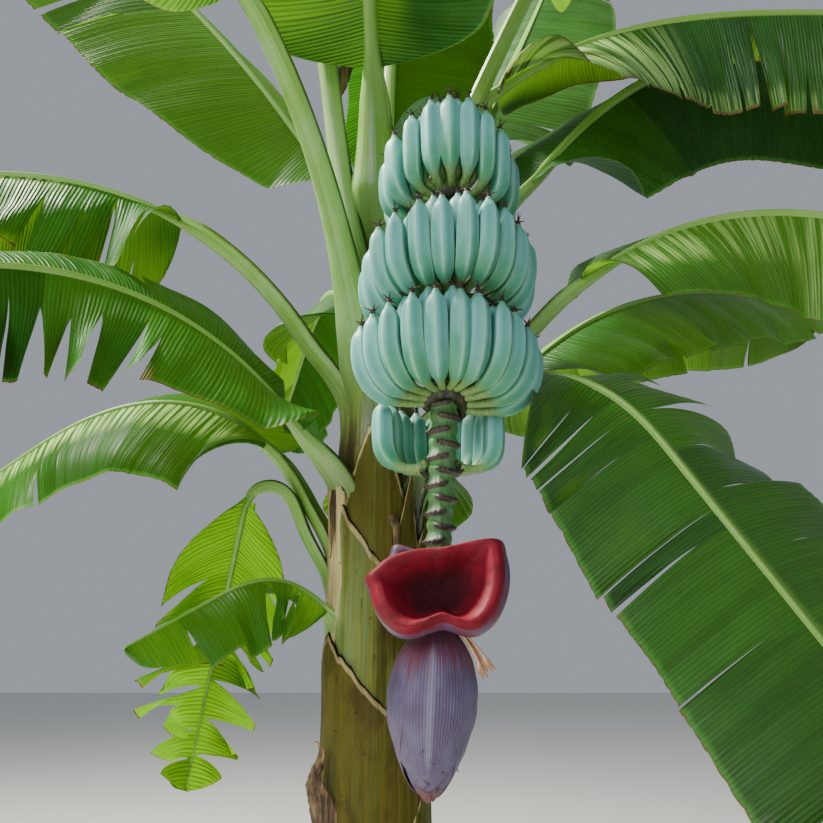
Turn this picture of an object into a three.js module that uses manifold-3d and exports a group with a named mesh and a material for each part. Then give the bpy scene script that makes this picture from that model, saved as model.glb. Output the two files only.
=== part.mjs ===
// A banana plant in fruit, rooted in level ground, in millimetres with +Z up.
// The origin is the middle of the flat cut under its false stem, and the bunch hangs on the -Y side.
// Directions round the stem are azimuths in degrees: 0 is +X, 90 is +Y (the back), 270 is the front.
import * as THREE from "three";
import { mergeVertices } from "three/addons/utils/BufferGeometryUtils.js";
import Module from "manifold-3d";

const wasm = await Module();
wasm.setup();

// Air left between two pieces that touch.
const GAP = 0.3;
const GOLDEN = 0.618034;

// The false stem: tightly wrapped leaf sheaths, with a flare at the foot.
const STEM = {
  throat: 2480,
  footRadius: 122,
  shoulderHeight: 1900,
  shoulderRadius: 88,
  throatRadius: 50,
  flare: 42,
  flareHeight: 110,
  sides: 18,
  heights: [0, 60, 150, 320, 640, 1000, 1400, 1900, 2150, 2350, 2480],
};

// A leaf stalk is widest where it leaves its sheath, and runs on as the rib of the blade.
const STALK = {
  baseSpread: 40,
  spreadRun: 160,
  halfWidth: 23,
  halfDepth: 17,
  flatTop: 0.55,
  spreadDepth: 0.4,
  rings: 6,
  sides: 8,
  crowding: 1.4,
};
const RIB = { halfWidth: 17, depth: 26, tipShare: 0.22, shoulder: 2, margin: 4 };

// A blade opens over a short run at its foot, keeps its breadth, and narrows from tipFrom on. Each half is
// bent once along its middle by curl degrees. A tear leaves tearLeft of the half's breadth.
const BLADE = {
  thicknessShare: 0.01,
  openRun: 0.08,
  lobeRun: 0.2,
  foldFrom: 0.05,
  foldTo: 0.35,
  tipFrom: 0.62,
  tipPower: 2.2,
  curl: 22,
  stations: [0, 0.04, 0.12, 0.27, 0.45, 0.62, 0.79, 0.92, 1],
};
const TEAR = { halfWidth: 16, left: 0.3, from: 0.16, run: 0.66, step: 0.37, clear: 2.2 };

// One line for each leaf. height is where its stalk leaves the stem; rise is the slope there, and the rib
// turns down by droop degrees between bendFrom and bendTo of its run and sideways by swing over all of it.
// sheath is the run over which the stalk keeps the breadth of its sheath. left and right are the half widths,
// and foldLeft and foldRight how far each half hangs below the leaf's plane near the foot and farther out.
// twist is how far the blade turns about its rib, foot the share of it over which it widens, lobe how far the
// corners of its foot reach back, tears the number of wide rips, and splitAt where an arched blade is parted.
const LEAVES = [
  {
    name: "tall_left",
    height: 1900, azimuth: 248, swing: -51, rise: 75, droop: 59, bendFrom: -0.04, bendTo: 0.83,
    sheath: 180, stalk: 960, blade: 1450, left: 250, right: 250, foldLeft: [6, 14], foldRight: [6, 14],
    twist: 0, foot: 0.14, lobe: 90, tears: 1,
  },
  {
    name: "crown",
    height: 2190, azimuth: 264, swing: 0, rise: 83, droop: 76, bendFrom: 0, bendTo: 1,
    sheath: 300, stalk: 570, blade: 1650, left: 280, right: 280, foldLeft: [-6, 10], foldRight: [0, 12],
    twist: 0, foot: 0.12, lobe: 90, tears: 1,
  },
  {
    name: "high_left",
    height: 2410, azimuth: 172, swing: 1, rise: 59, droop: 31, bendFrom: 0, bendTo: 1,
    sheath: 60, stalk: 150, blade: 1970, left: 360, right: 270, foldLeft: [60, 60], foldRight: [-16, -10],
    twist: 0, foot: 0.3, lobe: 185, tears: 1,
  },
  {
    name: "arch_left",
    height: 1920, azimuth: 192, swing: 0, rise: 68, droop: 94, bendFrom: -0.05, bendTo: 0.73,
    sheath: 0, stalk: 640, blade: 1450, left: 230, right: 250, foldLeft: [62, 70], foldRight: [36, 62],
    twist: 0, foot: 0.06, lobe: 90, tears: 3, splitAt: 0.3,
  },
  {
    name: "low_arch_left",
    height: 1720, azimuth: 212, swing: 0, rise: 64, droop: 111, bendFrom: -0.07, bendTo: 0.8,
    sheath: 0, stalk: 250, blade: 1720, left: 250, right: 150, foldLeft: [36, 74], foldRight: [-45, -34],
    twist: 0, foot: 0.06, lobe: 90, tears: 3, splitAt: 0.42,
  },
  {
    name: "mid_left",
    height: 1550, azimuth: 171, swing: 1, rise: 69, droop: 103, bendFrom: 0.06, bendTo: 0.59,
    sheath: 0, stalk: 430, blade: 1450, left: 260, right: 250, foldLeft: [50, 48], foldRight: [-24, -16],
    twist: 0, foot: 0.06, lobe: 90, tears: 1, splitAt: 0.35,
  },
  {
    name: "hanging_left",
    height: 1490, azimuth: 180, swing: 0, rise: 67, droop: 148, bendFrom: 0.3, bendTo: 0.48,
    sheath: 0, stalk: 450, blade: 580, left: 150, right: 130, foldLeft: [8, 10], foldRight: [10, 12],
    twist: 58, foot: 0.35, lobe: 0, tears: 2,
  },
  {
    name: "small_left",
    height: 1270, azimuth: 208, swing: 0, rise: 80, droop: 110, bendFrom: 0.27, bendTo: 0.76,
    sheath: 0, stalk: 310, blade: 430, left: 150, right: 80, foldLeft: [38, 40], foldRight: [0, 6],
    twist: 0, foot: 0.06, lobe: 0, tears: 2,
  },
  {
    name: "front_right",
    height: 1850, azimuth: 348, swing: -35, rise: 54, droop: 111, bendFrom: 0.01, bendTo: 0.34,
    sheath: 0, stalk: 370, blade: 1780, left: 330, right: 300, foldLeft: [-22, -30], foldRight: [50, 54],
    twist: 0, foot: 0.07, lobe: 0, tears: 2, splitAt: 0.3,
  },
  {
    name: "mid_right",
    height: 1780, azimuth: 354, swing: 0, rise: 54, droop: 86, bendFrom: 0.13, bendTo: 0.77,
    sheath: 0, stalk: 640, blade: 1500, left: 240, right: 260, foldLeft: [-26, -4], foldRight: [40, 86],
    twist: 0, foot: 0.06, lobe: 90, tears: 1, splitAt: 0.35,
  },
  {
    name: "under_right",
    height: 2140, azimuth: 14, swing: 1, rise: 54, droop: 78, bendFrom: 0.24, bendTo: 1,
    sheath: 60, stalk: 560, blade: 1600, left: 200, right: 290, foldLeft: [-38, 4], foldRight: [54, 106],
    twist: 0, foot: 0.06, lobe: 90, tears: 1,
  },
  {
    name: "high_right",
    height: 2450, azimuth: 2, swing: -8, rise: 72, droop: 75, bendFrom: -0.14, bendTo: 0.63,
    sheath: 60, stalk: 425, blade: 1705, left: 180, right: 270, foldLeft: [-6, 6], foldRight: [34, 98],
    twist: 0, foot: 0.06, lobe: 20, tears: 2, splitAt: 0.4,
  },
  {
    name: "upright_right",
    height: 2270, azimuth: 350, swing: 0, rise: 68, droop: 13, bendFrom: 0, bendTo: 1,
    sheath: 160, stalk: 900, blade: 1300, left: 230, right: 230, foldLeft: [6, 8], foldRight: [6, 8],
    twist: 0, foot: 0.06, lobe: 30, tears: 0,
  },
  {
    name: "steep_right",
    height: 2300, azimuth: 58, swing: 0, rise: 54, droop: -5, bendFrom: 0, bendTo: 1,
    sheath: 160, stalk: 700, blade: 1400, left: 260, right: 300, foldLeft: [6, 8], foldRight: [40, 30],
    twist: 0, foot: 0.1, lobe: 40, tears: 0,
  },
  {
    name: "steep_left",
    height: 2120, azimuth: 213, swing: 0, rise: 80, droop: -6, bendFrom: 0, bendTo: 1,
    sheath: 160, stalk: 860, blade: 1300, left: 150, right: 180, foldLeft: [6, 8], foldRight: [6, 8],
    twist: 60, foot: 0.06, lobe: 90, tears: 0,
  },
  {
    name: "back_upright",
    height: 2440, azimuth: 80, swing: 0, rise: 82, droop: 14, bendFrom: 0.1, bendTo: 1,
    sheath: 120, stalk: 150, blade: 1800, left: 140, right: 290, foldLeft: [30, 20], foldRight: [34, 24],
    twist: 0, foot: 0.12, lobe: 90, tears: 0,
  },
  {
    name: "back_right",
    height: 1720, azimuth: 36, swing: -4, rise: 56, droop: 54, bendFrom: -0.07, bendTo: 1,
    sheath: 0, stalk: 560, blade: 1500, left: 260, right: 260, foldLeft: [46, 60], foldRight: [30, 50],
    twist: 0, foot: 0.06, lobe: 90, tears: 1, splitAt: 0.35,
  },
  {
    name: "back_left",
    height: 1880, azimuth: 106, swing: 0, rise: 66, droop: 80, bendFrom: 0.05, bendTo: 0.7,
    sheath: 0, stalk: 520, blade: 1500, left: 260, right: 250, foldLeft: [42, 56], foldRight: [46, 60],
    twist: 0, foot: 0.06, lobe: 90, tears: 2, splitAt: 0.35,
  },
  {
    name: "back_low",
    height: 1620, azimuth: 84, swing: 0, rise: 58, droop: 118, bendFrom: 0.05, bendTo: 0.62,
    sheath: 0, stalk: 470, blade: 1300, left: 240, right: 240, foldLeft: [46, 60], foldRight: [46, 60],
    twist: 0, foot: 0.06, lobe: 90, tears: 1, splitAt: 0.35,
  },
];

// The fruit stalk rises from the throat, arches over to the front and hangs, leaning a little, down to the bud.
const BUD_TOP = 1545;
const STALK_OF_FRUIT = {
  rootDepth: 40,
  rootRadius: 36,
  rise: new THREE.Vector3(24, -8, 2690),
  archTop: 2690,
  archRings: 9,
  hangTop: 2440,
  hangFoot: BUD_TOP + GAP,
  y: -280,
  xAtFoot: 98,
  footOfLine: 1250,
  leanPerMetre: 50,
  topRadius: 29,
  footRadius: 19,
  fullFrom: 2100,
  sides: 9,
  scars: 7,
  firstScar: 1925,
  scarPitch: 42,
  scarHeight: 5,
  scarHalfRun: 7,
};

// A hand is a half-whorl of fingers in two rows on one crown. front is the azimuth of its middle, sag how much
// lower the far side of its ring lies, slope how far one end is raised, bendTo and bendEnds the share of its
// length in which a finger has turned upright in the middle and at the ends.
const HANDS = [
  {
    name: "hand_top",
    z: 2360, front: 276, span: 284, sag: 96, slope: -24,
    outer: 12, inner: 7, length: 204, bendTo: 0.4, bendEnds: 0.95,
  },
  {
    name: "hand_second",
    z: 2146, front: 280, span: 270, sag: 90, slope: 0,
    outer: 15, inner: 9, length: 222, bendTo: 0.72, bendEnds: 0.92,
  },
  {
    name: "hand_third",
    z: 1957, front: 278, span: 182, sag: 64, slope: -6,
    outer: 11, inner: 7, length: 228, bendTo: 0.76, bendEnds: 0.9,
  },
  {
    name: "hand_last",
    z: 1818, front: 95, span: 176, sag: 0, slope: 0,
    outer: 9, inner: 0, length: 178, bendTo: 0.62, bendEnds: 0.62,
  },
];
const CROWN = { radius: 33, halfDepth: 13, halfHeight: 15, endShare: 0.55, rings: 13, sides: 6 };
const FINGER = {
  start: 34,
  steps: 24,
  innerLift: 20,
  innerShare: 0.86,
  innerBend: 0.62,
  droopAtCrown: -8,
  upright: 88,
  sides: 5,
  along: [0, 0.2, 0.44, 0.84, 1],
  radii: [7, 9, 19, 17, 5],
};

// The closed male bud under the bunch, and the one bract that has lifted off it.
const BUD = {
  length: 292,
  sides: 14,
  along: [0, 0.05, 0.12, 0.22, 0.38, 0.54, 0.74, 0.88, 0.96, 1],
  radii: [20, 30, 47, 64, 75, 73, 54, 35, 18, 5],
};
const BRACT = {
  centreZ: 1598,
  forward: 26,
  halfWidth: 114,
  halfHeight: 76,
  rimSquare: 0.72,
  hollow: 50,
  hollowFrom: 0.1,
  hollowTo: 0.8,
  lip: 16,
  lipFrom: 0.62,
  lipTo: 1.18,
  tilt: 14,
  roll: -7,
  thickness: 7,
  sides: 16,
  rings: [0.2, 0.45, 0.68, 0.86, 1],
};
const FLOWERS = {
  count: 4,
  rootSide: 24,
  rootBack: -6,
  rootHeight: 1548,
  endSide: 68,
  endHeight: 1458,
  rootSpread: 34,
  endSpread: 60,
  bow: 16,
  radius: 7,
  narrowing: 0.45,
  rings: 4,
  sides: 5,
};

const radians = THREE.MathUtils.degToRad;
const share = (value, from, to) => THREE.MathUtils.clamp((value - from) / (to - from), 0, 1);
const eased = (value, from, to) => THREE.MathUtils.smoothstep(value, from, to);
const fraction = (value) => value - Math.floor(value);

// A value read off a list of values at a list of places, with straight runs between them.
function along(places, values, at) {
  for (let i = 1; i < places.length; i++) {
    if (at <= places[i]) {
      return THREE.MathUtils.lerp(values[i - 1], values[i], share(at, places[i - 1], places[i]));
    }
  }
  return values[values.length - 1];
}

// A closed geometry as a solid that can be joined and cut.
function solidOf(geometry) {
  geometry.deleteAttribute("normal");
  geometry.deleteAttribute("uv");
  const merged = mergeVertices(geometry, 1e-3);
  return new wasm.Manifold(
    new wasm.Mesh({
      numProp: 3,
      vertProperties: merged.getAttribute("position").array,
      triVerts: new Uint32Array(merged.index.array),
    }),
  );
}

// A cylinder whose rings are moved to where corner(ring, side) says: the way every limb here is made.
// Each of its squares is two triangles, and those beside the sides in turned are parted on the other diagonal.
function skin(sides, rings, corner, turned = []) {
  const tube = new THREE.CylinderGeometry(1, 1, 1, sides, rings - 1);
  const index = tube.getIndex().array;
  for (const side of turned) {
    for (let ring = 0; ring < rings - 1; ring++) {
      const first = 6 * (side * (rings - 1) + ring);
      const [a, b, d, , c] = index.slice(first, first + 6);
      index.set([a, b, c, a, c, d], first);
    }
  }
  const position = tube.getAttribute("position");
  const middles = [];
  for (let i = 0; i < position.count; i++) {
    const ring = Math.round((0.5 - position.getY(i)) * (rings - 1));
    const turn = Math.atan2(position.getX(i), position.getZ(i)) / (2 * Math.PI);
    const side = (Math.round(turn * sides) + sides) % sides;
    if (Math.hypot(position.getX(i), position.getZ(i)) > 0.5) {
      const place = corner(ring, side);
      position.setXYZ(i, place.x, place.y, place.z);
    } else {
      middles.push([i, ring]);
    }
  }
  for (const [i, ring] of middles) {
    const middle = new THREE.Vector3();
    for (let side = 0; side < sides; side++) middle.addScaledVector(corner(ring, side), 1 / sides);
    position.setXYZ(i, middle.x, middle.y, middle.z);
  }
  return solidOf(tube);
}

// The largest single body of a solid, so that a cut leaves no scraps.
function largest(solid) {
  return solid.decompose().reduce((most, one) => (one.volume() > most.volume() ? one : most));
}

const group = new THREE.Group();

function addNode(name, solid, material) {
  const made = largest(solid).getMesh();
  const geometry = new THREE.BufferGeometry();
  geometry.setAttribute("position", new THREE.BufferAttribute(new Float32Array(made.vertProperties), 3));
  geometry.setIndex(new THREE.BufferAttribute(new Uint32Array(made.triVerts), 1));
  geometry.computeVertexNormals();
  const mesh = new THREE.Mesh(geometry, material);
  mesh.name = name;
  group.add(mesh);
}

const paint = (colour, roughness) => new THREE.MeshStandardMaterial({ color: colour, roughness, metalness: 0 });
const SHEATH = paint(0x8f9a4e, 0.6);
const STALK_GREEN = paint(0xa9c37c, 0.45);
const LEAF_GREEN = paint(0x2f7a24, 0.5);
const FRUIT_GREEN = paint(0x8fbfae, 0.6);
const FRUIT_STALK_GREEN = paint(0x5f8f45, 0.6);
const BUD_PURPLE = paint(0x7d6a80, 0.6);
const BRACT_RED = paint(0x8e1c26, 0.5);
const FLOWER_CREAM = paint(0xe6c58c, 0.7);

function stemRadius(z) {
  const trunk = along(
    [0, STEM.shoulderHeight, STEM.throat],
    [STEM.footRadius, STEM.shoulderRadius, STEM.throatRadius],
    z,
  );
  return trunk + STEM.flare * Math.exp(-z / STEM.flareHeight);
}

function stem(grow = 0) {
  return skin(STEM.sides, STEM.heights.length, (ring, side) => {
    const z = STEM.heights[ring];
    const angle = (-2 * Math.PI * side) / STEM.sides;
    const radius = stemRadius(z) + grow;
    const top = ring === STEM.heights.length - 1 ? grow : 0;
    return new THREE.Vector3(radius * Math.cos(angle), radius * Math.sin(angle), z + top);
  });
}

// Where a leaf's stalk or rib runs: at any share of its run, a place, its direction and its two sideways axes.
class LeafLine {
  static STEPS = 160;

  constructor(leaf) {
    this.leaf = leaf;
    this.run = leaf.stalk + leaf.blade;
    const start = radians(leaf.azimuth);
    const out = stemRadius(leaf.height) * 0.5;
    this.points = [new THREE.Vector3(out * Math.cos(start), out * Math.sin(start), leaf.height)];
    for (let i = 0; i < LeafLine.STEPS; i++) {
      const step = this.direction((i + 0.5) / LeafLine.STEPS).multiplyScalar(this.run / LeafLine.STEPS);
      this.points.push(this.points[i].clone().add(step));
    }
  }

  slope(t) {
    return radians(this.leaf.rise - this.leaf.droop * eased(t, this.leaf.bendFrom, this.leaf.bendTo));
  }

  heading(t) {
    return radians(this.leaf.azimuth + this.leaf.swing * t);
  }

  direction(t) {
    const level = Math.cos(this.slope(t));
    return new THREE.Vector3(
      level * Math.cos(this.heading(t)),
      level * Math.sin(this.heading(t)),
      Math.sin(this.slope(t)),
    );
  }

  at(t) {
    const step = THREE.MathUtils.clamp(t, 0, 1) * LeafLine.STEPS;
    const low = Math.min(Math.floor(step), LeafLine.STEPS - 1);
    const place = this.points[low].clone().lerp(this.points[low + 1], step - low);
    const forward = this.direction(t);
    const flat = new THREE.Vector3(-Math.sin(this.heading(t)), Math.cos(this.heading(t)), 0);
    const over = forward.clone().cross(flat);
    const turn = radians(this.leaf.twist * eased(t, this.leaf.bendFrom, this.leaf.bendTo));
    const side = flat.clone().multiplyScalar(Math.cos(turn)).addScaledVector(over, Math.sin(turn));
    const up = over.multiplyScalar(Math.cos(turn)).addScaledVector(flat, -Math.sin(turn));
    return { place, forward, side, up };
  }
}

const offset = (frame, across, upward) =>
  frame.place.clone().addScaledVector(frame.side, across).addScaledVector(frame.up, upward);

// A stalk: a rounded channel, flatter on top, from inside the stem to the foot of the blade.
function stalk(line, grow = 0) {
  const end = line.leaf.stalk - GAP;
  const last = STALK.rings - 1;
  return skin(STALK.sides, STALK.rings, (ring, side) => {
    const run = end * (ring / last) ** STALK.crowding + (ring === last ? grow : 0);
    const frame = line.at(run / line.run);
    if (ring === 0) frame.place.addScaledVector(frame.forward, -grow);
    const spread = STALK.baseSpread * Math.exp(-Math.max(run - line.leaf.sheath, 0) / STALK.spreadRun);
    const angle = (-2 * Math.PI * (side + 0.5)) / STALK.sides;
    const above = STALK.halfDepth * STALK.flatTop;
    const depth = Math.sin(angle) > 0 ? above : STALK.halfDepth + spread * STALK.spreadDepth;
    return offset(
      frame,
      (STALK.halfWidth + spread + grow) * Math.cos(angle),
      (depth + grow) * Math.sin(angle),
    );
  });
}

// How wide a half blade is at q, the share of the blade's length from its foot to its tip.
function bladeOutline(leaf, q) {
  const foot = 1 - (1 - share(q, 0, leaf.foot)) ** 2;
  const past = share(q, BLADE.tipFrom, 1);
  return foot * Math.sqrt(Math.max(1 - past ** BLADE.tipPower, 0));
}

// Rips run from the margin nearly to the rib. Both halves take turns along the blade.
function tearsOf(leaf, index) {
  return Array.from({ length: leaf.tears }, (_, k) => ({
    q: TEAR.from + TEAR.run * fraction(index * TEAR.step + (k + 1) * GOLDEN),
    left: k % 2 === 0,
  }));
}

function bladeStations(leaf, tears) {
  const reach = TEAR.halfWidth / leaf.blade;
  const near = (q) => tears.some((tear) => Math.abs(tear.q - q) < TEAR.clear * reach);
  const cuts = tears.flatMap((tear) => [tear.q - reach, tear.q, tear.q + reach]);
  return [...BLADE.stations.filter((q) => !near(q)), ...cuts].sort((a, b) => a - b);
}

const ribShare = (q) => 1 - (1 - RIB.tipShare) * q;

// How far a half blade hangs below the leaf's plane at q, on the near and the far side of its own bend.
function leanAt(leaf, q, left) {
  const open = share(q, 0, BLADE.openRun);
  const [nearFoot, farther] = left ? leaf.foldLeft : leaf.foldRight;
  const more = share(q, BLADE.foldFrom, BLADE.foldTo);
  const fold = radians(THREE.MathUtils.lerp(nearFoot, farther, more) * open);
  const curl = radians((BLADE.curl / 2) * open);
  return { near: fold - curl, far: fold + curl };
}

// A point of a half blade, run away from the middle of the rib and lift above the middle of its thickness.
function onHalf(frame, half, run, lift) {
  const inside = Math.min(run, half.bend);
  const beyond = run - inside;
  const lean = (run > half.bend ? half.far : half.near) / 2 + (run < half.bend ? half.near : half.far) / 2;
  const across = inside * Math.cos(half.near) + beyond * Math.cos(half.far) + lift * Math.sin(lean);
  const drop = inside * Math.sin(half.near) + beyond * Math.sin(half.far) - lift * Math.cos(lean);
  const place = offset(frame, half.side * across, -drop);
  return place.addScaledVector(frame.forward, (-half.back * run) / half.width);
}

// A blade with its rib: twelve corners at each station, round the top of both halves and back under them.
// The keel of the rib lies midway between the undersides of the halves, and where they hang steeply its
// shoulders move out to where the undersides part.
function blade(line, index) {
  const { leaf } = line;
  const tears = tearsOf(leaf, index);
  const stations = bladeStations(leaf, tears);
  const thick = (leaf.blade * BLADE.thicknessShare) / 2;
  const under = thick + RIB.shoulder;
  const undersides = [1, 2, 3, 4, 5, 6];
  const section = stations.map((q) => {
    const leans = { left: leanAt(leaf, q, true), right: leanAt(leaf, q, false) };
    const wedge = (Math.PI - leans.left.near - leans.right.near) / 2;
    const shoulder = Math.max(RIB.halfWidth * ribShare(q), under / Math.tan(wedge) + RIB.margin / 2);
    const half = (left) => {
      const torn = tears.some((tear) => tear.left === left && Math.abs(tear.q - q) < 1e-9);
      const full = (left ? leaf.left : leaf.right) * bladeOutline(leaf, q) * (torn ? TEAR.left : 1);
      const width = Math.max(full, shoulder + RIB.margin);
      const back = leaf.lobe * share(q, 0, BLADE.openRun) * (1 - share(q, 0, BLADE.lobeRun));
      const bend = Math.max(width / 2, shoulder + RIB.margin / 2);
      return { side: left ? 1 : -1, width, bend, back, ...(left ? leans.left : leans.right) };
    };
    return {
      frame: line.at((leaf.stalk + q * leaf.blade) / line.run),
      left: half(true),
      right: half(false),
      turn: (leans.right.near - leans.left.near) / 2,
      shoulder,
      depth: Math.max(RIB.depth * ribShare(q) + thick, under / Math.sin(wedge) + RIB.shoulder),
    };
  });
  const build = (ring, side) => {
    const { frame, left, right, turn, shoulder, depth } = section[ring];
    const middle = (lift) => offset(frame, -lift * Math.sin(turn), lift * Math.cos(turn));
    const corners = [
      () => onHalf(frame, left, left.width, thick),
      () => onHalf(frame, left, left.bend, thick),
      () => middle(thick),
      () => onHalf(frame, right, right.bend, thick),
      () => onHalf(frame, right, right.width, thick),
      () => onHalf(frame, right, right.width, -thick),
      () => onHalf(frame, right, right.bend, -thick),
      () => onHalf(frame, right, shoulder, -under),
      () => middle(-depth),
      () => onHalf(frame, left, shoulder, -under),
      () => onHalf(frame, left, left.bend, -thick),
      () => onHalf(frame, left, left.width, -thick),
    ];
    return corners[(corners.length - side) % corners.length]();
  };
  return skin(12, stations.length, build, undersides);
}

// The fruit stalk's place at height z on its hanging stretch.
function hangingAt(z) {
  const F = STALK_OF_FRUIT;
  return new THREE.Vector3(F.xAtFoot + ((z - F.footOfLine) * F.leanPerMetre) / 1000, F.y, z);
}

function fruitStalkRadius(z) {
  const F = STALK_OF_FRUIT;
  return THREE.MathUtils.lerp(F.footRadius, F.topRadius, share(z, F.hangFoot, F.fullFrom));
}

function fruitStalkArch(grow = 0) {
  const F = STALK_OF_FRUIT;
  const end = hangingAt(F.hangTop + GAP / 2);
  const curve = new THREE.CubicBezierCurve3(
    new THREE.Vector3(0, 0, STEM.throat - F.rootDepth),
    F.rise,
    new THREE.Vector3(end.x, F.y, F.archTop),
    end,
  );
  const across = new THREE.Vector3(end.x, F.y, 0).normalize();
  const flat = new THREE.Vector3(-across.y, across.x, 0);
  return skin(F.sides, F.archRings, (ring, side) => {
    const t = ring / (F.archRings - 1);
    const tangent = curve.getTangent(t);
    const out = flat.clone().cross(tangent).normalize();
    const angle = (2 * Math.PI * side) / F.sides;
    const radius = THREE.MathUtils.lerp(F.rootRadius, F.topRadius, t) + grow;
    return curve
      .getPoint(t)
      .addScaledVector(flat, radius * Math.cos(angle))
      .addScaledVector(out, radius * Math.sin(angle));
  });
}

// The hanging stalk below the arch, with a raised scar where each flower cluster has dropped.
function rachis(grow = 0) {
  const F = STALK_OF_FRUIT;
  const scars = Array.from({ length: F.scars }, (_, k) => F.firstScar - k * F.scarPitch);
  const ridges = scars.flatMap((z) => [z + F.scarHalfRun, z, z - F.scarHalfRun]);
  const heights = [F.hangTop - GAP / 2 + grow, F.fullFrom, ...ridges, F.hangFoot];
  return skin(F.sides, heights.length, (ring, side) => {
    const z = heights[ring];
    const centre = hangingAt(z);
    const angle = (2 * Math.PI * side) / F.sides;
    const radius = fruitStalkRadius(z) + (scars.includes(z) ? F.scarHeight : 0) + grow;
    return centre.add(new THREE.Vector3(radius * Math.cos(angle), radius * Math.sin(angle), 0));
  });
}

// One finger: it leaves the crown level or drooping and turns up until it stands.
function finger(root, azimuth, length, bendTo) {
  const { steps, droopAtCrown, upright } = FINGER;
  const heading = radians(azimuth);
  const slope = (t) => radians(THREE.MathUtils.lerp(droopAtCrown, upright, eased(t, 0, bendTo)));
  const points = [root.clone()];
  const direction = (t) =>
    new THREE.Vector3(
      Math.cos(slope(t)) * Math.cos(heading),
      Math.cos(slope(t)) * Math.sin(heading),
      Math.sin(slope(t)),
    );
  for (let i = 0; i < steps; i++) {
    points.push(points[i].clone().addScaledVector(direction((i + 0.5) / steps), length / steps));
  }
  const side = new THREE.Vector3(-Math.sin(heading), Math.cos(heading), 0);
  return skin(FINGER.sides, FINGER.along.length, (ring, corner) => {
    const t = FINGER.along[ring];
    const low = Math.min(Math.floor(t * steps), steps - 1);
    const place = points[low].clone().lerp(points[low + 1], t * steps - low);
    const up = direction(t).cross(side);
    const angle = (-2 * Math.PI * (corner + 0.25)) / FINGER.sides;
    return place
      .addScaledVector(side, FINGER.radii[ring] * Math.cos(angle))
      .addScaledVector(up, FINGER.radii[ring] * Math.sin(angle));
  });
}

// How high the crown of a hand lies at the share t of its arc.
function crownHeight(hand, t) {
  const aside = 2 * t - 1;
  const turned = radians(hand.span / 2) * aside;
  return hand.z + hand.slope * aside - (hand.sag / 2) * (1 - Math.cos(turned));
}

// The cushion that carries a hand: a thick arc round the fruit stalk.
function crown(hand) {
  return skin(CROWN.sides, CROWN.rings, (ring, side) => {
    const t = ring / (CROWN.rings - 1);
    const azimuth = radians(hand.front + hand.span * (t - 0.5));
    const angle = (2 * Math.PI * side) / CROWN.sides;
    const taper = THREE.MathUtils.lerp(CROWN.endShare, 1, Math.sin(Math.PI * t));
    const radius = CROWN.radius + CROWN.halfDepth * taper * Math.cos(angle);
    const centre = hangingAt(crownHeight(hand, t));
    return new THREE.Vector3(
      centre.x + radius * Math.cos(azimuth),
      centre.y + radius * Math.sin(azimuth),
      centre.z + CROWN.halfHeight * taper * Math.sin(angle),
    );
  });
}

function handSolid(hand) {
  const short = hand.length * FINGER.innerShare;
  const rows = [
    { count: hand.outer, lift: 0, length: hand.length, bend: 1 },
    { count: hand.inner, lift: FINGER.innerLift, length: short, bend: FINGER.innerBend },
  ];
  let made = crown(hand);
  for (const row of rows) {
    for (let k = 0; k < row.count; k++) {
      const t = (k + 0.5) / row.count;
      const azimuth = hand.front + hand.span * (t - 0.5);
      const bendTo = row.bend * THREE.MathUtils.lerp(hand.bendTo, hand.bendEnds, (2 * t - 1) ** 2);
      const centre = hangingAt(crownHeight(hand, t) + row.lift);
      centre.x += FINGER.start * Math.cos(radians(azimuth));
      centre.y += FINGER.start * Math.sin(radians(azimuth));
      made = made.add(finger(centre, azimuth, row.length, bendTo));
    }
  }
  return made;
}

function bud(grow = 0) {
  return skin(BUD.sides, BUD.along.length, (ring, side) => {
    const z = BUD_TOP - BUD.length * BUD.along[ring] + (ring === 0 ? grow : 0);
    const angle = (2 * Math.PI * side) / BUD.sides;
    const radius = BUD.radii[ring] + grow;
    return hangingAt(z).add(new THREE.Vector3(radius * Math.cos(angle), radius * Math.sin(angle), 0));
  });
}

// The lifted bract: a wide shallow cup that faces forward and a little down, with its rim rolled back.
function bract() {
  const rings = [...BRACT.rings, ...[...BRACT.rings].reverse()];
  const centre = hangingAt(BRACT.centreZ);
  const turn = new THREE.Euler(radians(-BRACT.tilt), radians(BRACT.roll), 0);
  return skin(BRACT.sides, rings.length, (ring, side) => {
    const out = rings[ring];
    const front = ring < BRACT.rings.length;
    const angle = (2 * Math.PI * side) / BRACT.sides;
    const square = (value) => Math.sign(value) * Math.abs(value) ** BRACT.rimSquare;
    const cup = BRACT.hollow * (1 - share(out, BRACT.hollowFrom, BRACT.hollowTo) ** 2);
    const rolled = BRACT.lip * Math.sin(Math.PI * share(out, BRACT.lipFrom, BRACT.lipTo));
    const place = new THREE.Vector3(
      BRACT.halfWidth * out * square(Math.cos(angle)),
      cup - rolled + (front ? 0 : BRACT.thickness),
      BRACT.halfHeight * out * square(Math.sin(angle)),
    );
    place.applyEuler(turn);
    return place.add(new THREE.Vector3(centre.x, centre.y - BRACT.forward - BRACT.hollow, centre.z));
  });
}

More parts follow.
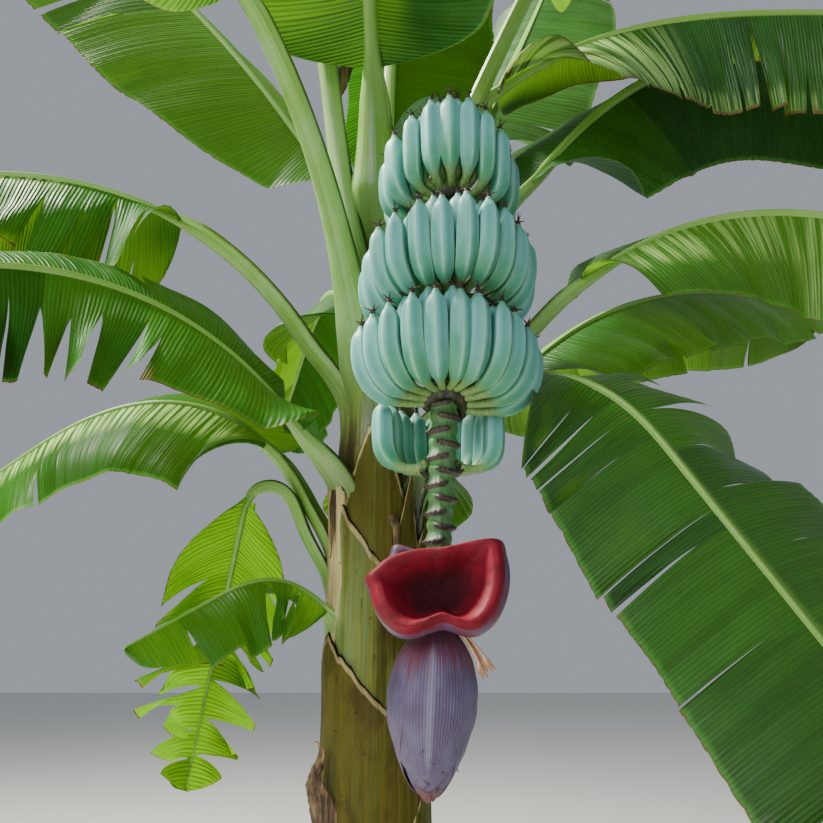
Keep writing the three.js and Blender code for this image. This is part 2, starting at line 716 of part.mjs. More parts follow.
// The male flowers that the lifted bract has uncovered, lying beside the neck of the bud.
function flowers() {
  const F = FLOWERS;
  const root = hangingAt(F.rootHeight);
  let made = null;
  for (let k = 0; k < F.count; k++) {
    const aside = k / (F.count - 1) - 0.5;
    const foot = new THREE.Vector3(F.rootSide, F.rootBack + F.rootSpread * aside, 0).add(root);
    const drop = F.endHeight - F.rootHeight;
    const end = new THREE.Vector3(F.endSide, F.rootBack + F.endSpread * aside, drop).add(root);
    const one = skin(F.sides, F.rings, (ring, side) => {
      const u = ring / (F.rings - 1);
      const angle = (2 * Math.PI * side) / F.sides;
      const place = foot.clone().lerp(end, u);
      const radius = F.radius * (1 - F.narrowing * u);
      place.x += F.bow * Math.sin(Math.PI * u * 0.6) + radius * Math.cos(angle);
      place.y += radius * Math.sin(angle);
      return place;
    });
    made = made ? made.add(one) : one;
  }
  return made;
}

addNode("pseudostem", stem(), SHEATH);

const taken = [stem(GAP)];
const clearOf = (solid, others) => others.reduce((left, other) => left.subtract(other), solid);

addNode("fruit_stalk_arch", clearOf(fruitStalkArch(), [...taken, rachis(GAP)]), FRUIT_STALK_GREEN);
taken.push(fruitStalkArch(GAP));

const lines = LEAVES.map((leaf) => new LeafLine(leaf));
const highestFirst = [...lines.keys()].sort((a, b) => LEAVES[b].height - LEAVES[a].height);
for (const index of highestFirst) {
  addNode("stalk_" + LEAVES[index].name, clearOf(stalk(lines[index]), taken), STALK_GREEN);
  taken.push(stalk(lines[index], GAP));
}

lines.forEach((line, index) => {
  const { leaf } = line;
  const whole = blade(line, index);
  if (!leaf.splitAt) {
    addNode("blade_" + leaf.name, whole, LEAF_GREEN);
    return;
  }
  const cut = line.at((leaf.stalk + leaf.splitAt * leaf.blade) / line.run);
  const normal = cut.forward.toArray();
  const at = cut.place.dot(cut.forward);
  const outer = whole.trimByPlane(normal, at + GAP / 2);
  const inner = whole.trimByPlane(cut.forward.clone().negate().toArray(), -at + GAP / 2);
  addNode("blade_" + leaf.name + "_inner", inner, LEAF_GREEN);
  addNode("blade_" + leaf.name + "_outer", outer, LEAF_GREEN);
});

addNode("rachis", rachis(), FRUIT_STALK_GREEN);
for (const hand of HANDS) {
  addNode(hand.name, handSolid(hand).subtract(rachis(GAP)), FRUIT_GREEN);
}
addNode("male_bud", clearOf(bud(), [rachis(GAP)]), BUD_PURPLE);
addNode("lifted_bract", clearOf(bract(), [rachis(GAP), bud(GAP)]), BRACT_RED);
addNode("male_flowers", clearOf(flowers(), [rachis(GAP), bud(GAP), bract()]), FLOWER_CREAM);

export default group;
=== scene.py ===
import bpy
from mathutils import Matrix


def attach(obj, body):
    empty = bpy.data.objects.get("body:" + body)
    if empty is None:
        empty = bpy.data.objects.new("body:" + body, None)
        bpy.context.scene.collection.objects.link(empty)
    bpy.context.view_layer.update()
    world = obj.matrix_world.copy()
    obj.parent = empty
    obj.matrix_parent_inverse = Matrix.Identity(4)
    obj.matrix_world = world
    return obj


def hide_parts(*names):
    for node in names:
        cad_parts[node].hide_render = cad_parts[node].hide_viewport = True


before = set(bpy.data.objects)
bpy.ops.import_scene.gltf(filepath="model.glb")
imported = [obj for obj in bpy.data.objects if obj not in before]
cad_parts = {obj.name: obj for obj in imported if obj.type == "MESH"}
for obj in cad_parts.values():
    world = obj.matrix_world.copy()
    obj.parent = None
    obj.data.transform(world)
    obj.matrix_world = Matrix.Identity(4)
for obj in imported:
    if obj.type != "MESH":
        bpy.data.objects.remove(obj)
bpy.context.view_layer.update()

import math
import random

import bmesh
import bpy
import numpy as np
from bpy.props import FloatProperty, FloatVectorProperty, IntProperty, PointerProperty
from mathutils import Matrix, Vector

bl_info = {
    "name": "Banana plant",
    "version": (1, 0, 0),
    "blender": (4, 5, 0),
    "location": "3D View > Sidebar > Plant",
    "description": "Dresses the solids of a banana plant in fruit",
    "category": "Object",
}

# Lengths below are in millimetres and angles in degrees, as in the solids' own rule. shape() makes metres.
MM = 0.001
GOLDEN = 0.618034

STEM = dict(throat=2480, shoulder=1900, foot_radius=122, shoulder_radius=88, throat_radius=50, flare=42,
            flare_height=110)
STALK = dict(spread=40, spread_run=160, half_width=23, half_depth=17, flat_top=0.55, spread_depth=0.4)
RIB = dict(half_width=17, depth=26, tip_share=0.22, crown=5)
BLADE = dict(open_run=0.08, lobe_run=0.2, fold_from=0.05, fold_to=0.35, tip_from=0.62, tip_power=2.2,
             curl=22)
TEAR = dict(mouth=8, left=0.3, start=0.16, run=0.66, step=0.37)

# How uneven a half blade is: the runs of its pleats, crinkles and waves, the height of the waves, how
# hollow the strips between tears are, how ragged its margin, and how fast a tear closes beside its mouth.
UNEVEN = dict(pleat_run=70, crinkle_run=23, wave_run=75, wave=10, hollow=10, ragged=0.012, ragged_run=4,
              closing=3.0)

# Up to tears, a leaf repeats the solids' rule. The rest is its look: how many fine tears each half has, how
# far they open at the margin (gap), how far the strips between them swing (fall), how deep the pleats are,
# the colour of its lamina, how much light passes through it (glow), its gloss (sheen), how much wider than
# the rest its dry margin is, how thick its rib is, how far its veins stand out (relief), how much darker its
# stalk is below, by a darker keel and by painted shade, how slim it is, and how far its veins run toward
# the tip (sweep). Each window of pale stripes, painted sheen that stands for light glinting along the veins,
# gives the half, from and to which share of the blade, from and to which reach, and how pale.
# rips are tears given one by one: the half, the share of the blade, the reach where it starts and the half
# width of its mouth. PLAIN_LEAF is what most share.
PLAIN_LEAF = dict(swing=0, sheath=0, twist=0, foot=0.06, lobe=90, tears=1, tint="deep", sheen=0.36, dry=0,
                  rib=1, relief=0.7, keel=0.25, slim=1, wash=(), rips=())
LEAVES = [{**PLAIN_LEAF, **leaf} for leaf in (
    dict(name="tall_left", height=1900, azimuth=248, swing=-51, rise=75, droop=59, bend=(-0.04, 0.83),
         sheath=180, stalk=960, blade=1450, left=250, right=250, fold_left=(6, 14), fold_right=(6, 14),
         foot=0.14,
         fine=(3, 2), gap=4, fall=8, pleat=1.2, tint="fresh", glow=0.34),
    dict(name="crown", height=2190, azimuth=264, rise=83, droop=76, bend=(0, 1), sheath=300, stalk=570,
         blade=1650, left=280, right=280, fold_left=(-6, 10), fold_right=(0, 12), foot=0.12,
         fine=(1, 1), gap=3, fall=5, pleat=1.0, glow=0.12, sheen=0.1, keel=0.9),
    dict(name="high_left", height=2410, azimuth=172, swing=1, rise=59, droop=31, bend=(0, 1), sheath=60,
         stalk=150, blade=1970, left=360, right=270, fold_left=(60, 60), fold_right=(-16, -10), foot=0.3,
         lobe=185,
         fine=(1, 2), gap=3, fall=5, pleat=1.5, glow=0.3, rib=0.8),
    dict(name="arch_left", height=1920, azimuth=192, rise=68, droop=94, bend=(-0.05, 0.73), stalk=640,
         blade=1450, left=230, right=250, fold_left=(62, 70), fold_right=(36, 62), tears=3,
         fine=(7, 8), gap=6, fall=18, pleat=1.0, glow=0.11, sheen=0.05, dry=0.014, rib=0.55, keel=0.1,
         wash=((1, 0.2, 1, 0, 0.08, 0.6),),
         rips=((1, 0.05, 0.1, 14), (1, 0.1, 0.06, 26), (1, 0.135, 0.3, 10), (1, 0.19, 0.25, 12),
               (-1, 0.11, 0.1, 16), (-1, 0.2, 0.15, 18))),
    dict(name="low_arch_left", height=1720, azimuth=212, rise=64, droop=111, bend=(-0.07, 0.8), stalk=250,
         blade=1720, left=250, right=150, fold_left=(36, 74), fold_right=(-45, -34), tears=3,
         fine=(0, 4), gap=12, fall=26, pleat=0.8, glow=0.1, sheen=0.03, dry=0.01, rib=0.65,
         rips=((1, 0.2, 0.45, 12), (1, 0.235, 0.4, 16), (1, 0.275, 0.36, 26), (1, 0.31, 0.42, 20),
               (1, 0.345, 0.36, 28), (1, 0.4, 0.4, 16), (1, 0.46, 0.3, 14), (1, 0.55, 0.3, 18),
               (1, 0.64, 0.2, 14), (1, 0.73, 0.3, 20), (1, 0.83, 0.3, 14))),
    dict(name="mid_left", height=1550, azimuth=171, swing=1, rise=69, droop=103, bend=(0.06, 0.59), stalk=430,
         blade=1450, left=260, right=250, fold_left=(50, 48), fold_right=(-24, -16),
         fine=(2, 3), gap=4, fall=7, pleat=0.5, glow=0.16, sheen=0.02, rib=0.7, relief=0.15,
         wash=((1, 0.06, 0.8, 0, 0.28, 0.7),)),
    dict(name="hanging_left", height=1490, azimuth=180, rise=67, droop=148, bend=(0.3, 0.48), stalk=450,
         blade=580, left=150, right=130, fold_left=(8, 10), fold_right=(10, 12), twist=58, foot=0.35, lobe=0,
         tears=2,
         fine=(2, 2), gap=6, fall=46, pleat=1.2, tint="fresh", glow=0.7, sheen=0.02, dry=0.012, slim=0.42,
         sweep=130, rips=((1, 0.4, 0.05, 24), (1, 0.53, 0.08, 30), (1, 0.66, 0.04, 28), (1, 0.8, 0.06, 22),
               (1, 0.9, 0.05, 18), (-1, 0.88, 0.05, 20), (-1, 0.36, 0.1, 20), (-1, 0.5, 0.04, 30),
               (-1, 0.63, 0.06, 26), (-1, 0.77, 0.05, 24))),
    dict(name="small_left", height=1270, azimuth=208, rise=80, droop=110, bend=(0.27, 0.76), stalk=310,
         blade=430, left=150, right=80, fold_left=(38, 40), fold_right=(0, 6), lobe=0, tears=2,
         fine=(3, 3), gap=8, fall=34, pleat=1.4, tint="fresh", glow=0.34, sheen=0.15, slim=0.55,
         rips=((1, 0.16, 0.1, 22), (1, 0.34, 0.08, 30), (-1, 0.3, 0.1, 20), (-1, 0.62, 0.1, 22))),
    dict(name="front_right", height=1850, azimuth=348, swing=-35, rise=54, droop=111, bend=(0.01, 0.34),
         stalk=370, blade=1780, left=330, right=300, fold_left=(-22, -30), fold_right=(50, 54), foot=0.07,
         lobe=0, tears=2,
         fine=(3, 3), gap=2, fall=9, pleat=2.0, glow=0.07, rips=((-1, 0.075, 0.35, 6), (-1, 0.105, 0.25, 7),
               (-1, 0.135, 0.3, 5), (-1, 0.17, 0.35, 3.5), (-1, 0.27, 0.06, 4), (-1, 0.4, 0.3, 2),
               (1, 0.09, 0.3, 4), (1, 0.135, 0.15, 8), (1, 0.19, 0.2, 5), (1, 0.25, 0.15, 10),
               (1, 0.33, 0.3, 5))),
    dict(name="mid_right", height=1780, azimuth=354, rise=54, droop=86, bend=(0.13, 0.77), stalk=640,
         blade=1500, left=240, right=260, fold_left=(-26, -4), fold_right=(40, 86),
         fine=(1, 0), gap=3, fall=3, pleat=1.3, glow=0.24, rib=0.75,
         wash=((-1, 0.1, 0.45, 0.05, 0.45, 0.5), (-1, 0.36, 0.5, 0.5, 1, 0.5))),
    dict(name="under_right", height=2140, azimuth=14, swing=1, rise=54, droop=78, bend=(0.24, 1), sheath=60,
         stalk=560, blade=1600, left=200, right=290, fold_left=(-38, 4), fold_right=(54, 106),
         fine=(3, 2), gap=3, fall=5, pleat=1.0, glow=0.04, sheen=0.12),
    dict(name="high_right", height=2450, azimuth=2, swing=-8, rise=72, droop=75, bend=(-0.14, 0.63),
         sheath=60, stalk=425, blade=1705, left=180, right=270, fold_left=(-6, 6), fold_right=(34, 98),
         lobe=20, tears=2,
         fine=(4, 4), gap=4, fall=14, pleat=1.6, glow=0.14, dry=0.022, rib=0.6,
         wash=((-1, 0, 0.24, 0.1, 0.9, 0.6), (-1, 0.24, 0.6, 0.86, 0.97, 0.4)), rips=((-1, 0.11, 0.8, 7),
               (-1, 0.16, 0.85, 6), (-1, 0.235, 0.78, 9), (-1, 0.3, 0.85, 5), (-1, 0.395, 0.05, 22),
               (-1, 0.43, 0.08, 12), (-1, 0.47, 0.6, 10))),
    dict(name="upright_right", height=2270, azimuth=350, rise=68, droop=13, bend=(0, 1), sheath=160,
         stalk=900, blade=1300, left=230, right=230, fold_left=(6, 8), fold_right=(6, 8), lobe=30, tears=0,
         fine=(2, 2), gap=4, fall=6, pleat=1.6, tint="fresh", glow=0.22),
    dict(name="steep_right", height=2300, azimuth=58, rise=54, droop=-5, bend=(0, 1), sheath=160, stalk=700,
         blade=1400, left=260, right=300, fold_left=(6, 8), fold_right=(40, 30), foot=0.1, lobe=40, tears=0,
         fine=(2, 3), gap=4, fall=6, pleat=1.6, glow=0.14),
    dict(name="steep_left", height=2120, azimuth=213, rise=80, droop=-6, bend=(0, 1), sheath=160, stalk=860,
         blade=1300, left=150, right=180, fold_left=(6, 8), fold_right=(6, 8), twist=60, tears=0,
         fine=(2, 2), gap=4, fall=6, pleat=1.2, tint="fresh", glow=0.36, sheen=0.1),
    dict(name="back_upright", height=2440, azimuth=80, rise=82, droop=14, bend=(0.1, 1), sheath=120,
         stalk=150, blade=1800, left=140, right=290, fold_left=(30, 20), fold_right=(34, 24), foot=0.12,
         tears=0,
         fine=(1, 2), gap=3, fall=5, pleat=0.5, tint="fresh", glow=0.34, sheen=0.0),
    dict(name="back_right", height=1720, azimuth=36, swing=-4, rise=56, droop=54, bend=(-0.07, 1), stalk=560,
         blade=1500, left=260, right=260, fold_left=(46, 60), fold_right=(30, 50),
         fine=(5, 6), gap=5, fall=14, pleat=2.0, tint="fresh", glow=0.14),
    dict(name="back_left", height=1880, azimuth=106, rise=66, droop=80, bend=(0.05, 0.7), stalk=520,
         blade=1500, left=260, right=250, fold_left=(42, 56), fold_right=(46, 60), tears=2,
         fine=(6, 6), gap=6, fall=14, pleat=2.0, tint="fresh", glow=0.1, sheen=0.1),
    dict(name="back_low", height=1620, azimuth=84, rise=58, droop=118, bend=(0.05, 0.62), stalk=470,
         blade=1300, left=240, right=240, fold_left=(46, 60), fold_right=(46, 60),
         fine=(6, 7), gap=6, fall=16, pleat=1.8, glow=0.15),
)]

BUD_TOP = 1545
FRUIT_STALK = dict(root_depth=40, root_radius=36, rise=(24, -8, 2690), arch_top=2690, hang_top=2440, y=-280,
                   x_at_foot=98, foot_of_line=1250, lean=0.05, top_radius=29, foot_radius=19, full_from=2100)
SCARS = dict(first=1930, pitch=25, count=16, height=8.5, half_run=4.6, half_angle=80, aside=58, tilt=5,
             bumps=22)

# front is the azimuth of a hand's middle, span its arc, sag how much lower its far side lies, slope how far
# one end is raised, bend and bend_ends the share of its length in which a finger has turned upright.
HANDS = [
    dict(name="hand_top", z=2360, front=276, span=284, sag=96, slope=-24, outer=12, inner=9, length=204,
         bend=0.4, bend_ends=0.95),
    dict(name="hand_second", z=2146, front=280, span=270, sag=90, slope=0, outer=15, inner=9, length=222,
         bend=0.72, bend_ends=0.92),
    dict(name="hand_third", z=1957, front=278, span=182, sag=64, slope=-6, outer=11, inner=7, length=228,
         bend=0.76, bend_ends=0.9),
    dict(name="hand_last", z=1818, front=95, span=176, sag=0, slope=0, outer=9, inner=0, length=178,
         bend=0.62, bend_ends=0.62),
]
CROWN = dict(radius=33, half_depth=17, half_height=23, end_share=0.5)
FINGER = dict(start=35, inner_lift=20, inner_share=0.86, inner_bend=0.62, droop=-8, upright=88)
FINGER_ALONG = (0, 0.1, 0.2, 0.255, 0.31, 0.38, 0.5, 0.66, 0.8, 0.88, 0.925, 0.955, 0.98, 1)
FINGER_RADII = (8.5, 7.4, 7.6, 10.2, 14.6, 18.2, 20.4, 20.6, 19.9, 18.0, 14.6, 10.0, 6.8, 5.6)

BUD_ALONG = (0, 0.05, 0.12, 0.22, 0.38, 0.54, 0.74, 0.88, 0.96, 1)
BUD_RADII = (20, 31, 48, 65, 76, 74, 55, 35, 18, 5)
BUD_LENGTH = 292
BUD_RIBS = 44
FLOWER_COUNT = 9
BRACT = dict(centre_z=1598, forward=26, hollow=50, tilt=14, thickness=3)
# The lifted bract's outline as (direction, reach), and its section from the middle of the cup over the
# rolled rim as (share, reach, how far it lies back).
BRACT_RIM = ((7, 114), (24, 124), (40, 132), (57, 92), (74, 72), (90, 68), (112, 72), (130, 80), (148, 98),
             (162, 112), (172, 117), (188, 112), (208, 109), (232, 102), (250, 80), (268, 62), (287, 64),
             (304, 94), (324, 104), (348, 106))
BRACT_SECTION = ((0, 0, 44), (0.12, 0.18, 43), (0.26, 0.36, 37), (0.38, 0.5, 25), (0.5, 0.61, 8),
                 (0.6, 0.71, -6), (0.7, 0.81, -15), (0.8, 0.91, -15), (0.88, 0.97, -8), (0.94, 1.0, 2),
                 (1, 0.98, 13))

# How finely the pieces are made, besides the sizes that the panel shows: faces round or across, and rings
# or faces along. A limb has rings along its sheath, its stalk and its rib.
CORE_SIDES = 64
LIMB_RINGS = (30, 34, 70)
OLD_SHEATH_FACES = (34, 70)
STRIP_FACES = (8, 40)
CROWN_RINGS = (12, 40)
ARCH_RINGS = (20, 40)
RACHIS_RINGS = (84, 250)
BUD_RINGS = (88, 70)
BUD_BRACT_FACES = (40, 60)
CUP_FACES = (76, 60)
FLOWER_RINGS = (8, 10)

# The thickness of the shells.
OLD_SHEATH_WALL = 3
STRIP_WALL = 1.5
BUD_BRACT_WALL = 2.2

# The viewpoint: where the camera stands, in metres, how far it looks up and how wide it sees.
CAMERA = dict(place=(0.071, -1.85, 1.50), pitch=15, focal_share=882 / 823, sensor=36)


def share(value, start, end):
    return np.clip((value - start) / (end - start), 0, 1)


def eased(value, start, end):
    x = share(value, start, end)
    return x * x * (3 - 2 * x)


def blended(a, b, amount):
    return a + (b - a) * amount


def frac(value):
    return value - math.floor(value)


def ripple(x, seed, octaves=3):
    """A smooth wandering value between -1 and 1."""
    dice = random.Random(seed)
    total = 0
    for k in range(octaves):
        total = total + np.sin(x * (1.7 ** k) * dice.uniform(0.8, 1.2) + dice.uniform(0, 6.3))
    return total / octaves


def direction_of(slope, heading):
    """Unit vectors that rise by slope and point to heading, both in radians."""
    level = np.cos(slope)
    return np.stack([level * np.cos(heading), level * np.sin(heading), np.sin(slope)], -1)


def walked(first, steps):
    return np.vstack([first, first + np.cumsum(steps, axis=0)])


def on_line(points, t):
    """The places at shares t of a line through evenly spaced points."""
    knots = np.linspace(0, 1, len(points))
    return np.stack([np.interp(t, knots, points[:, k]) for k in range(3)], -1)


def round_axis(radius, angle, z):
    return np.stack([radius * np.cos(angle), radius * np.sin(angle), z], -1)


def stem_radius(z):
    trunk = np.interp(
        z,
        [0, STEM["shoulder"], STEM["throat"]],
        [STEM["foot_radius"], STEM["shoulder_radius"], STEM["throat_radius"]],
    )
    return trunk + STEM["flare"] * np.exp(-np.asarray(z) / STEM["flare_height"])


class LeafLine:
    """Where a leaf's stalk and rib run, by the same rule as its solids."""

    STEPS = 160

    def __init__(self, leaf):
        self.leaf = leaf
        self.run = leaf["stalk"] + leaf["blade"]
        out = 0.5 * float(stem_radius(leaf["height"]))
        first = round_axis(out, math.radians(leaf["azimuth"]), leaf["height"])
        middles = (np.arange(self.STEPS) + 0.5) / self.STEPS
        self.points = walked(first, self.direction(middles) * (self.run / self.STEPS))

    def slope(self, t):
        return np.radians(self.leaf["rise"] - self.leaf["droop"] * eased(t, *self.leaf["bend"]))

    def heading(self, t):
        return np.radians(self.leaf["azimuth"] + self.leaf["swing"] * t)

    def direction(self, t):
        return direction_of(self.slope(t), self.heading(t))

    def at(self, t):
        """The place, and the forward, sideways and upward directions, at each share of the run."""
        t = np.asarray(t, float)
        forward = self.direction(t)
        place = on_line(self.points, t) + forward * (np.minimum(t, 0) * self.run)[..., None]
        heading = self.heading(t)
        flat = np.stack([-np.sin(heading), np.cos(heading), np.zeros_like(heading)], -1)
        over = np.cross(forward, flat)
        turn = np.radians(self.leaf["twist"] * eased(t, *self.leaf["bend"]))[..., None]
        cos, sin = np.cos(turn), np.sin(turn)
        return place, forward, flat * cos + over * sin, over * cos - flat * sin


LINES = {leaf["name"]: LeafLine(leaf) for leaf in LEAVES}


def rib_share(q):
    return 1 - (1 - RIB["tip_share"]) * q


def blade_outline(leaf, q):
    foot = 1 - (1 - share(q, 0, leaf["foot"])) ** 2
    past = share(q, BLADE["tip_from"], 1)
    return foot * np.sqrt(np.maximum(1 - past ** BLADE["tip_power"], 0))


def blade_surface(line, q, reach, side, swing, start, lift, length):
    """Points of a half blade. swing turns what lies beyond start, lift raises it off its own surface."""
    leaf = line.leaf
    near, far = leaf["fold_left"] if side > 0 else leaf["fold_right"]
    full = (leaf["left"] if side > 0 else leaf["right"]) * blade_outline(leaf, q)
    width = np.maximum(full * length, RIB["half_width"] * rib_share(q) * 0.8)
    opened = share(q, 0, BLADE["open_run"])
    fold = np.radians(blended(near, far, share(q, BLADE["fold_from"], BLADE["fold_to"])) * opened)
    curl = np.radians(BLADE["curl"] / 2 * opened) + 1e-4
    first = fold - curl

    def arc(r):
        lean = first + 2 * curl * r
        run = width / (2 * curl)
        return run * (np.sin(lean) - np.sin(first)), run * (np.cos(first) - np.cos(lean))

    across, drop = arc(reach)
    hinge = np.minimum(reach, start)
    hinge_across, hinge_drop = arc(hinge)
    turn = swing * eased(reach, start, np.minimum(start + 0.4, 1.01))
    dx, dy = across - hinge_across, drop - hinge_drop
    across = hinge_across + dx * np.cos(turn) - dy * np.sin(turn)
    drop = hinge_drop + dx * np.sin(turn) + dy * np.cos(turn)
    lean = first + 2 * curl * reach + turn
    across = across + lift * np.sin(lean)
    drop = drop - lift * np.cos(lean)
    back = leaf["lobe"] * reach * opened * (1 - share(q, 0, BLADE["lobe_run"]))
    place, forward, sideways, up = line.at((leaf["stalk"] + q * leaf["blade"]) / line.run)
    return (
        place
        + sideways * (side * across)[:, None]
        - up * drop[:, None]
        - forward * back[:, None]
    )


def hanging_at(z):
    """The middle of the fruit stalk at height z on its hanging stretch."""
    z = np.asarray(z, float)
    x = FRUIT_STALK["x_at_foot"] + (z - FRUIT_STALK["foot_of_line"]) * FRUIT_STALK["lean"]
    return np.stack([x, np.full_like(z, FRUIT_STALK["y"]), z], -1)


def fruit_stalk_radius(z):
    full = share(z, BUD_TOP, FRUIT_STALK["full_from"])
    return blended(FRUIT_STALK["foot_radius"], FRUIT_STALK["top_radius"], full)


def crown_height(hand, t):
    aside = 2 * t - 1
    turned = np.radians(hand["span"] / 2) * aside
    return hand["z"] + hand["slope"] * aside - hand["sag"] / 2 * (1 - np.cos(turned))


def tube_form(sides, rings):
    """A closed tube as (mesh, ring and side of each vertex, whether it is the middle of an end)."""
    bm = bmesh.new()
    bmesh.ops.create_circle(bm, cap_ends=False, segments=sides, radius=1)
    edges = bm.edges[:]
    for _ in range(rings - 1):
        made = bmesh.ops.extrude_edge_only(bm, edges=edges)["geom"]
        moved = [part for part in made if isinstance(part, bmesh.types.BMVert)]
        bmesh.ops.translate(bm, verts=moved, vec=(0, 0, 1))
        tops = set(moved)
        edges = [part for part in made if isinstance(part, bmesh.types.BMEdge) and set(part.verts) <= tops]
    uv = bm.loops.layers.uv.new("UVMap")
    for face in bm.faces:
        middle = face.calc_center_median()
        turn = math.atan2(middle.y, middle.x) / math.tau % 1
        for loop in face.loops:
            own = math.atan2(loop.vert.co.y, loop.vert.co.x) / math.tau % 1
            own += round(turn - own)
            loop[uv].uv = (own, loop.vert.co.z / (rings - 1))
    rims = [edge for edge in bm.edges if len(edge.link_faces) == 1]
    caps = bmesh.ops.holes_fill(bm, edges=rims, sides=0)["faces"]
    for face in caps:
        for loop in face.loops:
            loop[uv].uv = (0.5, loop.vert.co.z / (rings - 1))
    bmesh.ops.poke(bm, faces=caps)
    bmesh.ops.recalc_face_normals(bm, faces=bm.faces)
    mesh = bpy.data.meshes.new("tube_form")
    bm.to_mesh(mesh)
    bm.free()
    at = np.empty(len(mesh.vertices) * 3)
    mesh.vertices.foreach_get("co", at)
    at = at.reshape(-1, 3)
    middle = np.hypot(at[:, 0], at[:, 1]) < 0.5
    side = np.round(np.arctan2(at[:, 1], at[:, 0]) / math.tau * sides) % sides
    return mesh, np.round(at[:, 2]).astype(int), side, middle


FORMS = {}


def write_marks(mesh, marks):
    """Stores float values, one for each vertex, that the materials read by name."""
    for name, values in marks.items():
        layer = mesh.attributes.new(name, "FLOAT", "POINT")
        layer.data.foreach_set("value", np.broadcast_to(values, len(mesh.vertices)).astype(float))


def bent_tube(sides, rings, place, marks=None):
    """A tube whose rings go where place(ring, angle) says, with marks(ring, angle)."""
    if (sides, rings) not in FORMS:
        FORMS[sides, rings] = tube_form(sides, rings)
    form, ring, side, middle = FORMS[sides, rings]
    mesh = form.copy()
    angle = side / sides * math.tau
    at = place(ring, angle)
    for end in (0, rings - 1):
        at[(ring == end) & middle] = at[(ring == end) & ~middle].mean(axis=0)
    mesh.vertices.foreach_set("co", at.ravel())
    if marks:
        write_marks(mesh, marks(ring, angle))
    return mesh


def flat_places(bm):
    """How far across (-1 to 1) and how far along (0 to 1) each vertex of a flat grid is."""
    at = np.array([v.co[:] for v in bm.verts])
    return at[:, 0], (at[:, 1] + 1) / 2


def grid(columns, rows):
    bm = bmesh.new()
    bmesh.ops.create_grid(bm, x_segments=columns, y_segments=rows, size=1)
    return bm, *flat_places(bm)


def laid(bm, points, uv=None, **marks):
    """A grid as a mesh, with its vertices moved to points, a UV map where uv is given, and marks."""
    if uv is not None:
        bm.verts.index_update()
        layer = bm.loops.layers.uv.new("UVMap")
        places = np.stack(uv, -1).tolist()
        for face in bm.faces:
            for loop in face.loops:
                loop[layer].uv = places[loop.vert.index]
    for vert, point in zip(bm.verts, points):
        vert.co = point
    mesh = mesh_of(bm)
    write_marks(mesh, marks)
    return mesh


def shape(name, meshes, materials, replaced=(), smooth=True, body="root"):
    """Joins meshes, given in millimetres, into one piece that rides on the body."""
    bm = bmesh.new()
    for mesh in meshes:
        bm.from_mesh(mesh)
        bpy.data.meshes.remove(mesh)
    bmesh.ops.scale(bm, vec=(MM, MM, MM), verts=bm.verts)
    for face in bm.faces:
        face.smooth = smooth
    made = bpy.data.meshes.new(name)
    bm.to_mesh(made)
    bm.free()
    piece = bpy.data.objects.new(name, made)
    bpy.context.scene.collection.objects.link(piece)
    for material in materials:
        made.materials.append(material)
    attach(piece, body)
    if replaced:
        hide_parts(*replaced)
    return piece


def thicken(piece, thickness, far_material=0):
    """Makes a shell as thick as given, in millimetres, with another material on its far side if asked."""
    wall = piece.modifiers.new("Thickness", "SOLIDIFY")
    wall.thickness = thickness * MM
    wall.material_offset = far_material


def mesh_of(bm):
    mesh = bpy.data.meshes.new("part")
    bm.to_mesh(mesh)
    bm.free()
    return mesh


